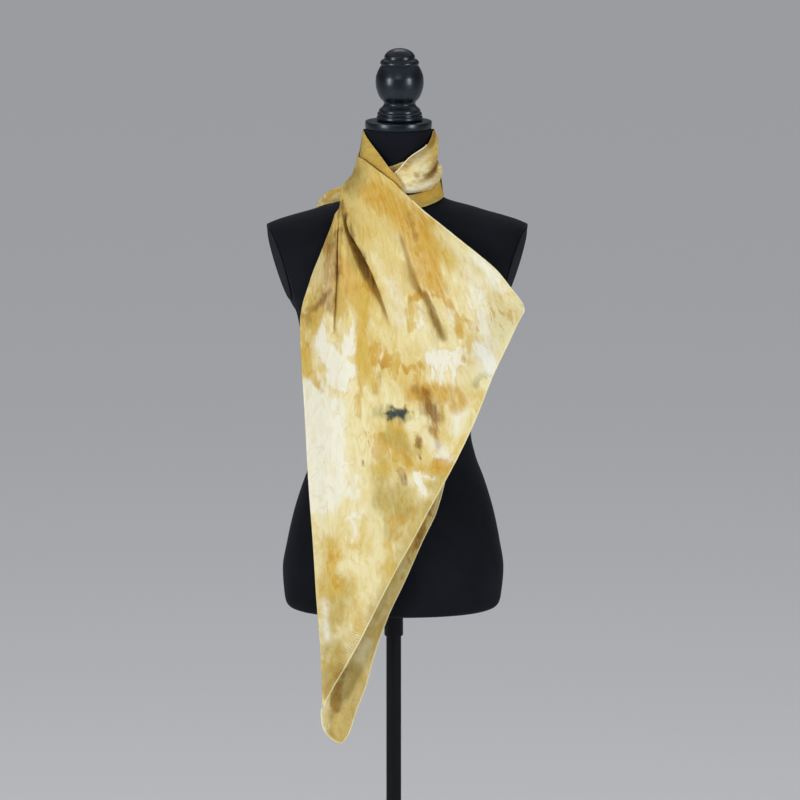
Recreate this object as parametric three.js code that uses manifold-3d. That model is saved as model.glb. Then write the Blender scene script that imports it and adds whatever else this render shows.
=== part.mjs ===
// Silk square scarf, worn diagonally on a limbless dress form with a turned neck finial and a pole stand.
// Millimetres, +Z up, the front faces -Y. The origin is on the floor, on the pole's axis.
import * as THREE from "three";
import { mergeVertices } from "three/addons/utils/BufferGeometryUtils.js";
import Module from "manifold-3d";

const wasm = await Module();
wasm.setup();

// Clearances and walls
const seam = 0.3;
const clothWall = 1.2;
const rimGap = 1.3;
const bandGap = 0.6;
const tailClear = 0.95;
const rimInset = 2.1;
const wrapGap = 2.1;
const layerGap = 3.2;
const backClear = 2.4;
const foldClear = 4.2;
const frontClear = 6.4;

// The stand
const baseRadius = 170;
const baseThick = 8;
const baseEdge = 3;
const bossRadius = 20;
const bossTop = 46;
const boreDepth = 36;
const poleRadius = 11;
const socketRadius = 13.9;
const socketBottom = 754;
const socketChamfer = 2;
const socketFlareRadius = 15.5;
const socketFlareHeight = 5;
const socketRoof = 10;

// The form: hem, neck and the slight lean of its middle line to the right
const hemHeight = 799;
const neckTop = 1509.7;
const leanPerHeight = 0.0122;
const leanOffset = -0.8;
const leanFrom = 857;
const middle = (z) => leanOffset + leanPerHeight * (z - leanFrom);
const finialMiddle = 8.8;

// Level sections of the form: half width, depth in front and behind, and how square the section is
const formSections = [
  { z: 799, half: 147, front: 95, back: 107, square: 2.3 },
  { z: 801.5, half: 153, front: 100, back: 112, square: 2.3 },
  { z: 807, half: 157.5, front: 103.5, back: 115.5, square: 2.3 },
  { z: 818, half: 160, front: 105, back: 117.5, square: 2.3 },
  { z: 857, half: 163, front: 107, back: 120, square: 2.3 },
  { z: 898, half: 156.7, front: 106, back: 115, square: 2.25 },
  { z: 928, half: 150.6, front: 104, back: 109, square: 2.2 },
  { z: 952, half: 144.5, front: 102, back: 103, square: 2.2 },
  { z: 991, half: 132, front: 97, back: 92, square: 2.2 },
  { z: 1025, half: 119, front: 93.5, back: 84, square: 2.2 },
  { z: 1059, half: 112, front: 92, back: 80, square: 2.2 },
  { z: 1100, half: 115.5, front: 95, back: 83, square: 2.2 },
  { z: 1150, half: 125, front: 105, back: 91, square: 2.25 },
  { z: 1185, half: 133, front: 114, back: 97, square: 2.3 },
  { z: 1215, half: 141, front: 119, back: 101, square: 2.3 },
  { z: 1243, half: 148, front: 117.5, back: 104, square: 2.3 },
  { z: 1257, half: 160, front: 116, back: 105.5, square: 2.35 },
  { z: 1271, half: 178, front: 113.5, back: 106.5, square: 2.35 },
  { z: 1288, half: 192, front: 110.5, back: 106.5, square: 2.35 },
  { z: 1310, half: 201, front: 105.5, back: 105, square: 2.35 },
  { z: 1335, half: 204, front: 98.5, back: 101, square: 2.3 },
  { z: 1354, half: 202, front: 91, back: 95, square: 2.2 },
  { z: 1364.5, half: 196, front: 85.5, back: 90, square: 2.1 },
  { z: 1372, half: 182, front: 81, back: 86, square: 2 },
  { z: 1380, half: 158, front: 76, back: 81, square: 1.95 },
  { z: 1387, half: 133, front: 71, back: 76, square: 1.9 },
  { z: 1394, half: 110, front: 66, back: 71, square: 1.9 },
  { z: 1400, half: 86, front: 62, back: 66, square: 1.95 },
  { z: 1404.5, half: 73, front: 59.5, back: 63, square: 2 },
  { z: 1410, half: 64.5, front: 57.5, back: 60, square: 2 },
  { z: 1419, half: 58.5, front: 55, back: 57, square: 2 },
  { z: 1434, half: 54.5, front: 53, back: 54, square: 2 },
  { z: 1455, half: 52, front: 51.5, back: 52, square: 2 },
  { z: 1480, half: 50.5, front: 50.3, back: 50.5, square: 2 },
  { z: 1503, half: 49.8, front: 49.6, back: 49.6, square: 2 },
  { z: 1507.5, half: 49, front: 48.8, back: 48.8, square: 2 },
  { z: 1509.7, half: 47, front: 46.8, back: 46.8, square: 2 },
];
const formSides = 44;

// The flat armhole ends, which lean in at the bottom and turn a little to the front
const armFaceX = 182.5;
const armFaceZ = 1345;
const armTilt = 0.28;
const armTurn = 0.16;
const armCutHeight = 190;
const armCutSize = 300;
const armPlate = { width: 112, height: 108, thick: 2.4, middleZ: 1311, setForward: 12 };

// The turned finial: radius and height above the neck cap
const capRadius = 48.8;
const capThick = 11;
const capEdge = 2.2;
const finialProfile = [
  { r: 33, h: 0 },
  { r: 33.6, h: 2 },
  { r: 33.4, h: 6.4 },
  { r: 32.2, h: 8 },
  { r: 32.6, h: 10.8 },
  { r: 30.6, h: 13 },
  { r: 30.2, h: 15.6 },
  { r: 26.5, h: 19.2 },
  { r: 22.8, h: 24.5 },
  { r: 24.2, h: 28 },
  { r: 28.6, h: 33 },
  { r: 32.9, h: 43.5 },
  { r: 35.2, h: 56.5 },
  { r: 33.4, h: 69 },
  { r: 28.4, h: 79.5 },
  { r: 27.4, h: 81.4 },
  { r: 28.2, h: 85 },
  { r: 26, h: 89.4 },
  { r: 22.7, h: 92 },
  { r: 21.2, h: 95.4 },
  { r: 17.2, h: 100.6 },
  { r: 9.4, h: 104.8 },
];
const finialHeight = 105.8;

// The hanging panel, row by row from the neck to its lower point: left and right edge (x), how far the
// left edge stands in front of the pole's axis, the depth of the cloth at the left quarter, the middle and
// the right quarter, and the depth of the right edge
const panelRows = [
  { z: 1469, left: -52, right: -45.5, dLeft: 2, dQuarter: 15, dMiddle: 23, dThree: 27, dRight: 30 },
  { z: 1462, left: -54.5, right: -33.5, dLeft: 2, dQuarter: 31, dMiddle: 41, dThree: 46, dRight: 49 },
  { z: 1455, left: -56.5, right: -23, dLeft: 3, dQuarter: 40, dMiddle: 51, dThree: 56, dRight: 59 },
  { z: 1447, left: -59, right: -10.5, dLeft: 4, dQuarter: 48, dMiddle: 59, dThree: 64, dRight: 66 },
  { z: 1438, left: -63.5, right: 1.5, dLeft: 8, dQuarter: 55, dMiddle: 66, dThree: 70, dRight: 71 },
  { z: 1430, left: -72, right: 9, dLeft: 14, dQuarter: 59, dMiddle: 71, dThree: 75, dRight: 75 },
  { z: 1421, left: -76.5, right: 20, dLeft: 24, dQuarter: 64, dMiddle: 76, dThree: 80, dRight: 78 },
  { z: 1411, left: -77.5, right: 30, dLeft: 33, dQuarter: 69, dMiddle: 82, dThree: 85, dRight: 81 },
  { z: 1398, left: -79, right: 44.5, dLeft: 45, dQuarter: 76, dMiddle: 89, dThree: 92, dRight: 85 },
  { z: 1391, left: -85, right: 53.5, dLeft: 50, dQuarter: 80, dMiddle: 93, dThree: 96, dRight: 87 },
  { z: 1374, left: -91.3, right: 75.5, dLeft: 58, dQuarter: 89, dMiddle: 101, dThree: 102, dRight: 91 },
  { z: 1357, left: -98.5, right: 97, dLeft: 63, dQuarter: 97, dMiddle: 108, dThree: 107, dRight: 95 },
  { z: 1334, left: -107.7, right: 126, dLeft: 66, dQuarter: 106, dMiddle: 116, dThree: 114, dRight: 97 },
  { z: 1312, left: -116.8, right: 150.5, dLeft: 67, dQuarter: 113, dMiddle: 121, dThree: 119, dRight: 94 },
  { z: 1290, left: -124, right: 168, dLeft: 66, dQuarter: 118, dMiddle: 125, dThree: 121, dRight: 87 },
  { z: 1268, left: -131, right: 184.5, dLeft: 64, dQuarter: 121, dMiddle: 128, dThree: 123, dRight: 80 },
  { z: 1259, left: -133, right: 189, dLeft: 64, dQuarter: 122, dMiddle: 129, dThree: 124, dRight: 78 },
  { z: 1252, left: -134.3, right: 190, dLeft: 64, dQuarter: 122, dMiddle: 129.5, dThree: 124, dRight: 77.5 },
  { z: 1245, left: -135.3, right: 186.5, dLeft: 64, dQuarter: 123, dMiddle: 130, dThree: 124, dRight: 78 },
  { z: 1234, left: -136.3, right: 180.5, dLeft: 65, dQuarter: 123, dMiddle: 130, dThree: 125, dRight: 81 },
  { z: 1208, left: -136, right: 168, dLeft: 67, dQuarter: 124, dMiddle: 131, dThree: 126, dRight: 88 },
  { z: 1163, left: -133.8, right: 145.5, dLeft: 73, dQuarter: 124, dMiddle: 131, dThree: 127, dRight: 102 },
  { z: 1102, left: -130, right: 120.5, dLeft: 82, dQuarter: 123, dMiddle: 130, dThree: 128, dRight: 117 },
  { z: 1050, left: -127.2, right: 96, dLeft: 89, dQuarter: 122, dMiddle: 129, dThree: 129, dRight: 125 },
  { z: 1011, left: -125, right: 75.5, dLeft: 93, dQuarter: 122, dMiddle: 129, dThree: 130, dRight: 129 },
  { z: 968, left: -122, right: 52, dLeft: 98, dQuarter: 122, dMiddle: 129, dThree: 131, dRight: 131 },
  { z: 922, left: -118.5, right: 27.7, dLeft: 102, dQuarter: 122, dMiddle: 129, dThree: 132, dRight: 133 },
  { z: 883, left: -116, right: 6, dLeft: 105, dQuarter: 123, dMiddle: 129, dThree: 133, dRight: 134 },
  { z: 832, left: -113, right: -20.3, dLeft: 108, dQuarter: 124, dMiddle: 129, dThree: 132, dRight: 134 },
  { z: 777, left: -108.6, right: -47.3, dLeft: 111, dQuarter: 123, dMiddle: 128, dThree: 131, dRight: 132 },
  { z: 732, left: -106, right: -71.5, dLeft: 113, dQuarter: 121, dMiddle: 126, dThree: 128, dRight: 129 },
  { z: 700, left: -105, right: -89.5, dLeft: 114, dQuarter: 118, dMiddle: 122, dThree: 123, dRight: 125 },
  { z: 680, left: -104.6, right: -99, dLeft: 115, dQuarter: 116.5, dMiddle: 118, dThree: 119, dRight: 120 },
  { z: 672, left: -104.6, right: -101.6, dLeft: 115, dQuarter: 115.6, dMiddle: 116.4, dThree: 117, dRight: 117.6 },
];

// Where the main folds cross each height: the upright valley, the overlapping pleat edge and the broad soft
// trough, and how deep each one is there
const foldRows = [
  { z: 1469, valley: -50.6, pleat: -49.2, trough: -47.6, valleyDeep: 0, pleatDeep: 0, troughDeep: 0 },
  { z: 1438, valley: -56, pleat: -46, trough: -22, valleyDeep: 0, pleatDeep: 0, troughDeep: 0 },
  { z: 1411, valley: -71, pleat: -63, trough: -26, valleyDeep: 0, pleatDeep: 0, troughDeep: 0 },
  { z: 1398, valley: -72, pleat: -64, trough: -18, valleyDeep: 1.5, pleatDeep: 1.5, troughDeep: 0.5 },
  { z: 1391, valley: -77, pleat: -68, trough: -14, valleyDeep: 5, pleatDeep: 6, troughDeep: 1 },
  { z: 1374, valley: -80.3, pleat: -64, trough: -8, valleyDeep: 8, pleatDeep: 9, troughDeep: 2 },
  { z: 1341, valley: -81.7, pleat: -43.6, trough: 4, valleyDeep: 9, pleatDeep: 9, troughDeep: 4 },
  { z: 1304, valley: -82.3, pleat: -25.3, trough: 20, valleyDeep: 8, pleatDeep: 9, troughDeep: 5 },
  { z: 1268, valley: -83.8, pleat: -13.5, trough: 36, valleyDeep: 4.5, pleatDeep: 5, troughDeep: 5 },
  { z: 1226, valley: -86, pleat: -3, trough: 66, valleyDeep: 2, pleatDeep: 1, troughDeep: 4 },
  { z: 1190, valley: -86, pleat: 4, trough: 72, valleyDeep: 1, pleatDeep: 0, troughDeep: 2 },
  { z: 1102, valley: -82, pleat: 0, trough: 55, valleyDeep: 0.6, pleatDeep: 0, troughDeep: 0.5 },
  { z: 968, valley: -86, pleat: -40, trough: 5, valleyDeep: 0.5, pleatDeep: 0, troughDeep: 0 },
  { z: 777, valley: -94, pleat: -79, trough: -62, valleyDeep: 0, pleatDeep: 0, troughDeep: 0 },
  { z: 672, valley: -103.8, pleat: -103, trough: -102.3, valleyDeep: 0, pleatDeep: 0, troughDeep: 0 },
];
const valleyReach = 9;
const pleatReach = 13;
const pleatStep = 2.6;
const troughReach = 26;
// Where pleat and valley run close together, the folds between them are this share of their full width
const fullRoom = 30;
const narrowValley = 0.4;
const narrowPleat = 0.25;
const foldsBegin = 12;

// The layer behind, from where it leaves the pinch to the lowest corner: its right edge, and its depth at
// the left third, the right third and the right edge
const backRows = [
  { z: 1388, right: -62, dThird: 60, dTwo: 68, dRight: 74 },
  { z: 1374, right: -50, dThird: 74, dTwo: 82, dRight: 88 },
  { z: 1341, right: -18, dThird: 88, dTwo: 97, dRight: 103 },
  { z: 1290, right: 22, dThird: 100, dTwo: 113, dRight: 117 },
  { z: 1240, right: 56, dThird: 104, dTwo: 119, dRight: 119 },
  { z: 1190, right: 78, dThird: 102, dTwo: 119, dRight: 117 },
  { z: 1120, right: 88, dThird: 102, dTwo: 113, dRight: 111 },
  { z: 1060, right: 85, dThird: 103, dTwo: 109, dRight: 107 },
  { z: 1012, right: 76, dThird: 104, dTwo: 108, dRight: 105 },
  { z: 959, right: 61.7, dThird: 106, dTwo: 110, dRight: 108 },
  { z: 918, right: 42.3, dThird: 108, dTwo: 111, dRight: 110 },
  { z: 857, right: 15.7, dThird: 109, dTwo: 112, dRight: 111.5 },
  { z: 805, right: -8.5, dThird: 107, dTwo: 110, dRight: 112 },
  { z: 741, right: -30.4, dThird: 103, dTwo: 106, dRight: 113 },
  { z: 704, right: -40, dThird: 100, dTwo: 104, dRight: 114 },
  { z: 665, right: -54.7, dThird: 99, dTwo: 105, dRight: 116 },
  { z: 640, right: -62.5, dThird: 106, dTwo: 109, dRight: 118 },
  { z: 626, right: -68.5, dThird: 114, dTwo: 115, dRight: 119.5 },
  { z: 618, right: -75.5, dThird: 119.5, dTwo: 119.5, dRight: 121 },
];
// The same layer's left edge: the fold it shares with the panel, then its own hem round to the corner
const backLeft = [
  { z: 1388, left: -86.2, depth: 51.5 },
  { z: 672, left: -104.6, depth: 115 },
  { z: 659.5, left: -105.7, depth: 116 },
  { z: 648, left: -105, depth: 117.5 },
  { z: 640, left: -103.2, depth: 118.5 },
  { z: 632, left: -99, depth: 119.5 },
  { z: 626, left: -93.6, depth: 120.5 },
  { z: 618, left: -81.5, depth: 121.5 },
];
const backTop = 1388;
const backBottom = 618;
const foldRadiusTop = 8;
const foldRadiusLow = 11;

// Bands around the neck. Turn is in degrees from the front, positive to the left. Each row gives height and
// radius of the lines that run round the neck
const leftBand = [
  { turn: -6.5, z1: 1430, r1: 70.5, z2: 1424, r2: 71 },
  { turn: 3, z1: 1447.5, r1: 66.5, z2: 1432, r2: 67.5 },
  { turn: 14, z1: 1461, r1: 63, z2: 1441, r2: 64 },
  { turn: 27, z1: 1475.5, r1: 58.5, z2: 1449, r2: 60.5 },
  { turn: 43, z1: 1488.5, r1: 55.3, z2: 1455, r2: 58 },
  { turn: 60, z1: 1499, r1: 53.7, z2: 1459, r2: 57 },
  { turn: 74, z1: 1505, r1: 52.4, z2: 1461, r2: 56.8 },
  { turn: 88, z1: 1507.5, r1: 51.6, z2: 1463, r2: 57 },
];
const upperBand = [
  { turn: -100, z1: 1507.5, r1: 52, z2: 1489, r2: 57.5, z3: 1470.5, r3: 53.6, z4: 1451, r4: 62.5, z5: 1441, r5: 59 },
  { turn: -90, z1: 1508.5, r1: 52, z2: 1490, r2: 58, z3: 1470.5, r3: 53.8, z4: 1450, r4: 64.5, z5: 1439.5, r5: 59.5 },
  { turn: -75, z1: 1507, r1: 52.2, z2: 1476, r2: 60.5, z3: 1457, r3: 55, z4: 1443, r4: 66, z5: 1434, r5: 61.5 },
  { turn: -60, z1: 1499, r1: 55, z2: 1465, r2: 62.5, z3: 1450, r3: 57.5, z4: 1437, r4: 67.5, z5: 1429.5, r5: 63.5 },
  { turn: -45, z1: 1489, r1: 57.3, z2: 1457, r2: 63.5, z3: 1444, r3: 60.5, z4: 1432, r4: 68, z5: 1425, r5: 65 },
  { turn: -30, z1: 1482, r1: 58.3, z2: 1451, r2: 64.5, z3: 1440, r3: 64, z4: 1429.5, r4: 68.5, z5: 1423.5, r5: 66 },
  { turn: -15, z1: 1473, r1: 59.8, z2: 1446, r2: 65.5, z3: 1436.5, r3: 66.5, z4: 1428, r4: 68.5, z5: 1422.5, r5: 66.5 },
  { turn: -1, z1: 1457, r1: 62, z2: 1442, r2: 63.5, z3: 1435, r3: 64, z4: 1429, r4: 64.5, z5: 1423.5, r5: 64.5 },
  { turn: 8, z1: 1448, r1: 61.5, z2: 1439, r2: 61.5, z3: 1433, r3: 61.5, z4: 1427, r4: 61.5, z5: 1421, r5: 61.5 },
];
const lowerBand = [
  { turn: -100, z1: 1436, r1: 58.4, z2: 1425, r2: 63, z3: 1414, r3: 66.6 },
  { turn: -85, z1: 1434.5, r1: 58.6, z2: 1424, r2: 63.5, z3: 1412.5, r3: 67.6 },
  { turn: -70, z1: 1431, r1: 58.4, z2: 1420, r2: 64.5, z3: 1410.5, r3: 70 },
  { turn: -55, z1: 1428, r1: 60, z2: 1417, r2: 66, z3: 1407.5, r3: 71.5 },
  { turn: -40, z1: 1424, r1: 61.4, z2: 1413, r2: 67.5, z3: 1404, r3: 72 },
  { turn: -26, z1: 1421, r1: 62.2, z2: 1409, r2: 68.5, z3: 1401, r3: 73 },
  { turn: -12, z1: 1419, r1: 63, z2: 1405, r2: 68.5, z3: 1398, r3: 73 },
];
const innerFold = [
  { turn: -24, z1: 1470, r1: 52, z2: 1459, r2: 52.5, z3: 1448, r3: 53.1 },
  { turn: -14, z1: 1468.5, r1: 52, z2: 1458, r2: 52.6, z3: 1447, r3: 53.3 },
  { turn: -4, z1: 1465.5, r1: 52.2, z2: 1456, r2: 53.2, z3: 1446, r3: 53.6 },
  { turn: 6, z1: 1462, r1: 52.3, z2: 1453, r2: 53, z3: 1444, r3: 53.6 },
  { turn: 16, z1: 1459, r1: 52.3, z2: 1451, r2: 53, z3: 1443, r3: 53.6 },
];
const backWrap = [
  { turn: 88, z1: 1507.5, r1: 51.6, z2: 1470, r2: 57.8, z3: 1452, r3: 64.4, z4: 1430, r4: 80, z5: 1402, r5: 84 },
  { turn: 104, z1: 1507, r1: 51.8, z2: 1482, r2: 55, z3: 1464, r3: 58.6, z4: 1447, r4: 64, z5: 1428, r5: 72 },
  { turn: 122, z1: 1505, r1: 53, z2: 1481, r2: 57, z3: 1460, r3: 59.5, z4: 1441, r4: 67, z5: 1426, r5: 72 },
  { turn: 145, z1: 1501, r1: 54, z2: 1478, r2: 62, z3: 1456, r3: 61, z4: 1433, r4: 70.5, z5: 1412, r5: 73 },
  { turn: 175, z1: 1498, r1: 54.5, z2: 1476, r2: 63, z3: 1455, r3: 60, z4: 1431, r4: 70, z5: 1408, r5: 72 },
  { turn: 210, z1: 1500, r1: 54, z2: 1479, r2: 62, z3: 1458, r3: 58.5, z4: 1433, r4: 69, z5: 1409, r5: 72 },
  { turn: 240, z1: 1505, r1: 53, z2: 1484, r2: 58.5, z3: 1464, r3: 55.5, z4: 1441, r4: 64, z5: 1412, r5: 69 },
  { turn: 259.4, z1: 1507.5, r1: 52, z2: 1488, r2: 57, z3: 1467, r3: 54.5, z4: 1447, r4: 62.5, z5: 1414, r5: 67.6 },
];
const wrapPullEnds = 0.3;

// The short end that pokes out over the left shoulder, from its root outwards: place along X, height of its
// folded top, and how far its two lower edges lie in front of and behind the top
const tailRows = [
  { x: -66, top: 1418, middleY: 22, front: 9, back: 11, drop: 14 },
  { x: -76, top: 1421, middleY: 22.5, front: 10, back: 12, drop: 22 },
  { x: -86, top: 1418, middleY: 23.5, front: 10.5, back: 12.5, drop: 24 },
  { x: -96, top: 1412, middleY: 25, front: 10, back: 12, drop: 21 },
  { x: -103.5, top: 1406, middleY: 26.5, front: 9, back: 10.5, drop: 17 },
  { x: -109, top: 1400.5, middleY: 28, front: 7, back: 8, drop: 12 },
  { x: -113, top: 1395.5, middleY: 29, front: 4.5, back: 5, drop: 6 },
];

// Smooth value of a column at a place between the rows of a table, never past the rows' own values
function read(rows, key, column, at) {
  const rising = rows[0][key] < rows[rows.length - 1][key];
  const list = rising ? rows : [...rows].reverse();
  const last = list.length - 1;
  if (at <= list[0][key]) return list[0][column];
  if (at >= list[last][key]) return list[last][column];
  let k = 0;
  while (at > list[k + 1][key]) k += 1;
  const slope = (i) => (list[i + 1][column] - list[i][column]) / (list[i + 1][key] - list[i][key]);
  const bend = (i) => {
    if (i === 0) return slope(0);
    if (i === last) return slope(last - 1);
    const [a, b] = [slope(i - 1), slope(i)];
    return a * b <= 0 ? 0 : (2 * a * b) / (a + b);
  };
  const gap = list[k + 1][key] - list[k][key];
  const t = (at - list[k][key]) / gap;
  const rise = list[k + 1][column] - list[k][column];
  const [start, end] = [bend(k) * gap, bend(k + 1) * gap];
  return list[k][column] + t * start + t * t * (3 * rise - 2 * start - end) + t * t * t * (start + end - 2 * rise);
}

const clamp01 = (t) => Math.min(1, Math.max(0, t));
const ease = (t) => clamp01(t) ** 2 * (3 - 2 * clamp01(t));
const mix = (a, b, t) => a + (b - a) * t;

// Rounded greater of two depths
const softMax = (a, b, round) => (a + b + Math.sqrt((a - b) ** 2 + round * round)) / 2;

// How far the form reaches from the pole's axis plane at x and z, to the front or to the back
function formReach(x, z, side) {
  const half = read(formSections, "z", "half", z);
  const depth = read(formSections, "z", side, z);
  const square = read(formSections, "z", "square", z);
  const out = Math.abs(x - middle(z)) / half;
  return out >= 1 ? 0 : depth * (1 - out ** square) ** (1 / square);
}

// The form's front, moved out by a clear distance measured square to its surface
function clearOfForm(x, z, clear) {
  const step = 1;
  const here = formReach(x, z, "front");
  const slopeX = (formReach(x + step, z, "front") - formReach(x - step, z, "front")) / (2 * step);
  const slopeZ = (formReach(x, z + step, "front") - formReach(x, z - step, "front")) / (2 * step);
  return here + clear * Math.min(4, Math.hypot(1, slopeX, slopeZ));
}

// Height of the form's shoulder over a point of the floor
function shoulderTop(x, y) {
  const side = y < 0 ? "front" : "back";
  let [low, high] = [1330, 1440];
  while (high - low > 0.05) {
    const z = (low + high) / 2;
    if (formReach(x, z, side) > Math.abs(y)) low = z;
    else high = z;
  }
  return low;
}

// Closed mesh from vertices and faces, turned so that its faces point out
function closedGeometry(points, faces) {
  let volume = 0;
  for (const [a, b, c] of faces) volume += points[a].dot(new THREE.Vector3().crossVectors(points[b], points[c]));
  const turned = volume < 0 ? faces.map(([a, b, c]) => [a, c, b]) : faces;
  const geometry = new THREE.BufferGeometry();
  geometry.setAttribute("position", new THREE.Float32BufferAttribute(points.flatMap((p) => [p.x, p.y, p.z]), 3));
  geometry.setIndex(turned.flat());
  return geometry;
}

// Cloth wall from a grid of points on its middle: both faces, then the four edges
function clothGeometry(surface, across, down, wall = clothWall) {
  const at = (i, j) => surface(i / across, j / down);
  const grid = [];
  for (let j = 0; j <= down; j += 1) {
    for (let i = 0; i <= across; i += 1) grid.push(at(i, j));
  }
  const width = across + 1;
  const cell = (i, j) => grid[j * width + i];
  const points = [];
  for (const face of [0.5, -0.5]) {
    for (let j = 0; j <= down; j += 1) {
      for (let i = 0; i <= across; i += 1) {
        const acrossWay = cell(Math.min(i + 1, across), j).clone().sub(cell(Math.max(i - 1, 0), j));
        const downWay = cell(i, Math.min(j + 1, down)).clone().sub(cell(i, Math.max(j - 1, 0)));
        const out = acrossWay.cross(downWay).normalize();
        points.push(cell(i, j).clone().addScaledVector(out, face * wall));
      }
    }
  }
  const under = width * (down + 1);
  const faces = [];
  for (let j = 0; j < down; j += 1) {
    for (let i = 0; i < across; i += 1) {
      const a = j * width + i;
      const [b, c, d] = [a + 1, a + width + 1, a + width];
      faces.push([a, b, c], [a, c, d], [under + a, under + c, under + b], [under + a, under + d, under + c]);
    }
  }
  const edge = (a, b) => faces.push([a, under + a, under + b], [a, under + b, b]);
  for (let i = 0; i < across; i += 1) {
    edge(i, i + 1);
    edge(down * width + i + 1, down * width + i);
  }
  for (let j = 0; j < down; j += 1) {
    edge((j + 1) * width, j * width);
    edge(j * width + across, (j + 1) * width + across);
  }
  return closedGeometry(points, faces);
}

// Solid handed to the cutting library and back
const mergeWithin = 1e-4;

function mergedGeometry(geometry) {
  const plain = geometry.clone();
  plain.deleteAttribute("normal");
  plain.deleteAttribute("uv");
  return mergeVertices(plain, mergeWithin);
}

function toSolid(geometry) {
  const merged = mergedGeometry(geometry);
  return new wasm.Manifold(new wasm.Mesh({
    numProp: 3,
    vertProperties: new Float32Array(merged.attributes.position.array),
    triVerts: new Uint32Array(merged.index.array),
  }));
}

function fromSolid(solid) {
  const mesh = solid.getMesh();
  const geometry = new THREE.BufferGeometry();
  geometry.setAttribute("position", new THREE.BufferAttribute(new Float32Array(mesh.vertProperties), 3));
  geometry.setIndex(new THREE.BufferAttribute(new Uint32Array(mesh.triVerts), 1));
  return geometry;
}

const group = new THREE.Group();

function addPiece(name, geometry, look) {
  const mesh = new THREE.Mesh(geometry, new THREE.MeshStandardMaterial(look));
  mesh.name = name;
  group.add(mesh);
  return mesh;
}

const velvet = { color: 0x15171c, roughness: 0.95, metalness: 0 };
const blackPaint = { color: 0x101114, roughness: 0.35, metalness: 0 };
const blackSteel = { color: 0x141518, roughness: 0.45, metalness: 0.4 };
const silk = { color: 0xd6aa5a, roughness: 0.45, metalness: 0 };
const silkPale = { color: 0xe6d3a0, roughness: 0.45, metalness: 0 };

// The way out of an armhole's flat face: outwards, a little to the front and down
function armWay(side) {
  const level = Math.cos(armTilt);
  return new THREE.Vector3(
    side * level * Math.cos(armTurn),
    -level * Math.sin(armTurn),
    -Math.sin(armTilt),
  );
}

const armPoint = (side) => new THREE.Vector3(middle(armFaceZ) + side * armFaceX, 0, armFaceZ);

// Torso and neck: rings from the hem to the neck, then both arm ends cut flat
function formGeometry() {
  const points = [];
  for (const row of formSections) {
    for (let k = 0; k < formSides; k += 1) {
      const angle = (k / formSides) * Math.PI * 2;
      const [c, s] = [Math.cos(angle), Math.sin(angle)];
      const power = 2 / row.square;
      points.push(new THREE.Vector3(
        middle(row.z) + row.half * Math.sign(c) * Math.abs(c) ** power,
        (s < 0 ? row.front : row.back) * Math.sign(s) * Math.abs(s) ** power,
        row.z,
      ));
    }
  }
  const top = formSections.length - 1;
  const faces = [];
  for (let j = 0; j < top; j += 1) {
    for (let k = 0; k < formSides; k += 1) {
      const [a, b] = [j * formSides + k, j * formSides + ((k + 1) % formSides)];
      faces.push([a, b, b + formSides], [a, b + formSides, a + formSides]);
    }
  }
  points.push(new THREE.Vector3(middle(hemHeight), 0, hemHeight), new THREE.Vector3(middle(neckTop), 0, neckTop));
  const [under, over] = [points.length - 2, points.length - 1];
  for (let k = 0; k < formSides; k += 1) {
    const next = (k + 1) % formSides;
    faces.push([under, next, k], [over, top * formSides + k, top * formSides + next]);
  }
  let solid = toSolid(closedGeometry(points, faces));
  for (const side of [-1, 1]) {
    const cutter = new THREE.BoxGeometry(armCutSize, armCutSize, armCutHeight);
    const way = armWay(side);
    const turn = new THREE.Quaternion().setFromUnitVectors(new THREE.Vector3(1, 0, 0), way);
    const place = armPoint(side).addScaledVector(way, armCutSize / 2);
    cutter.applyMatrix4(new THREE.Matrix4().compose(place, turn, new THREE.Vector3(1, 1, 1)));
    solid = solid.subtract(toSolid(cutter));
  }
  return fromSolid(solid);
}

addPiece("form_torso", formGeometry(), velvet);

// Oval plates on the arm ends
for (const [name, side] of [["arm_plate_left", -1], ["arm_plate_right", 1]]) {
  const oval = new THREE.Shape();
  oval.absellipse(0, 0, armPlate.width / 2, armPlate.height / 2, 0, Math.PI * 2);
  const plate = new THREE.ExtrudeGeometry(oval, { depth: armPlate.thick, bevelEnabled: false, curveSegments: 14 });
  const out = armWay(side);
  const level = new THREE.Vector3(0, 0, 1).cross(out).normalize();
  const up = out.clone().cross(level);
  const along = (armPlate.middleZ - armFaceZ) / up.z;
  const place = armPoint(side).addScaledVector(up, along).addScaledVector(out, seam);
  place.addScaledVector(level, -side * armPlate.setForward);
  plate.applyMatrix4(new THREE.Matrix4().makeBasis(level, up, out).setPosition(place));
  addPiece(name, plate, velvet);
}

// A turned shape with its seam joined and its faces on the axis left out
function joinedGeometry(geometry) {
  const merged = mergedGeometry(geometry);
  const points = [];
  for (let k = 0; k < merged.attributes.position.count; k += 1) {
    points.push(new THREE.Vector3().fromBufferAttribute(merged.attributes.position, k));
  }
  const index = [...merged.index.array];
  const faces = [];
  for (let k = 0; k < index.length; k += 3) {
    const [a, b, c] = index.slice(k, k + 3);
    if (a !== b && b !== c && a !== c) faces.push([a, b, c]);
  }
  return closedGeometry(points, faces);
}

// Turned pieces around an upright axis, from a profile of radius and height
function turned(name, profile, x, z, look, sides = 24) {
  const lathe = new THREE.LatheGeometry(profile.map(([r, h]) => new THREE.Vector2(r, h)), sides);
  lathe.rotateX(Math.PI / 2);
  const piece = addPiece(name, joinedGeometry(lathe), look);
  piece.position.set(x, 0, z);
}

const capBottom = neckTop + seam;
turned("neck_cap", [
  [0, 0], [capRadius - capEdge, 0], [capRadius - 0.5, 0.8], [capRadius, capEdge],
  [capRadius, capThick - capEdge], [capRadius - 0.7, capThick - 0.7], [capRadius - capEdge, capThick], [0, capThick],
], middle(neckTop), capBottom, blackPaint, 32);

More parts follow.
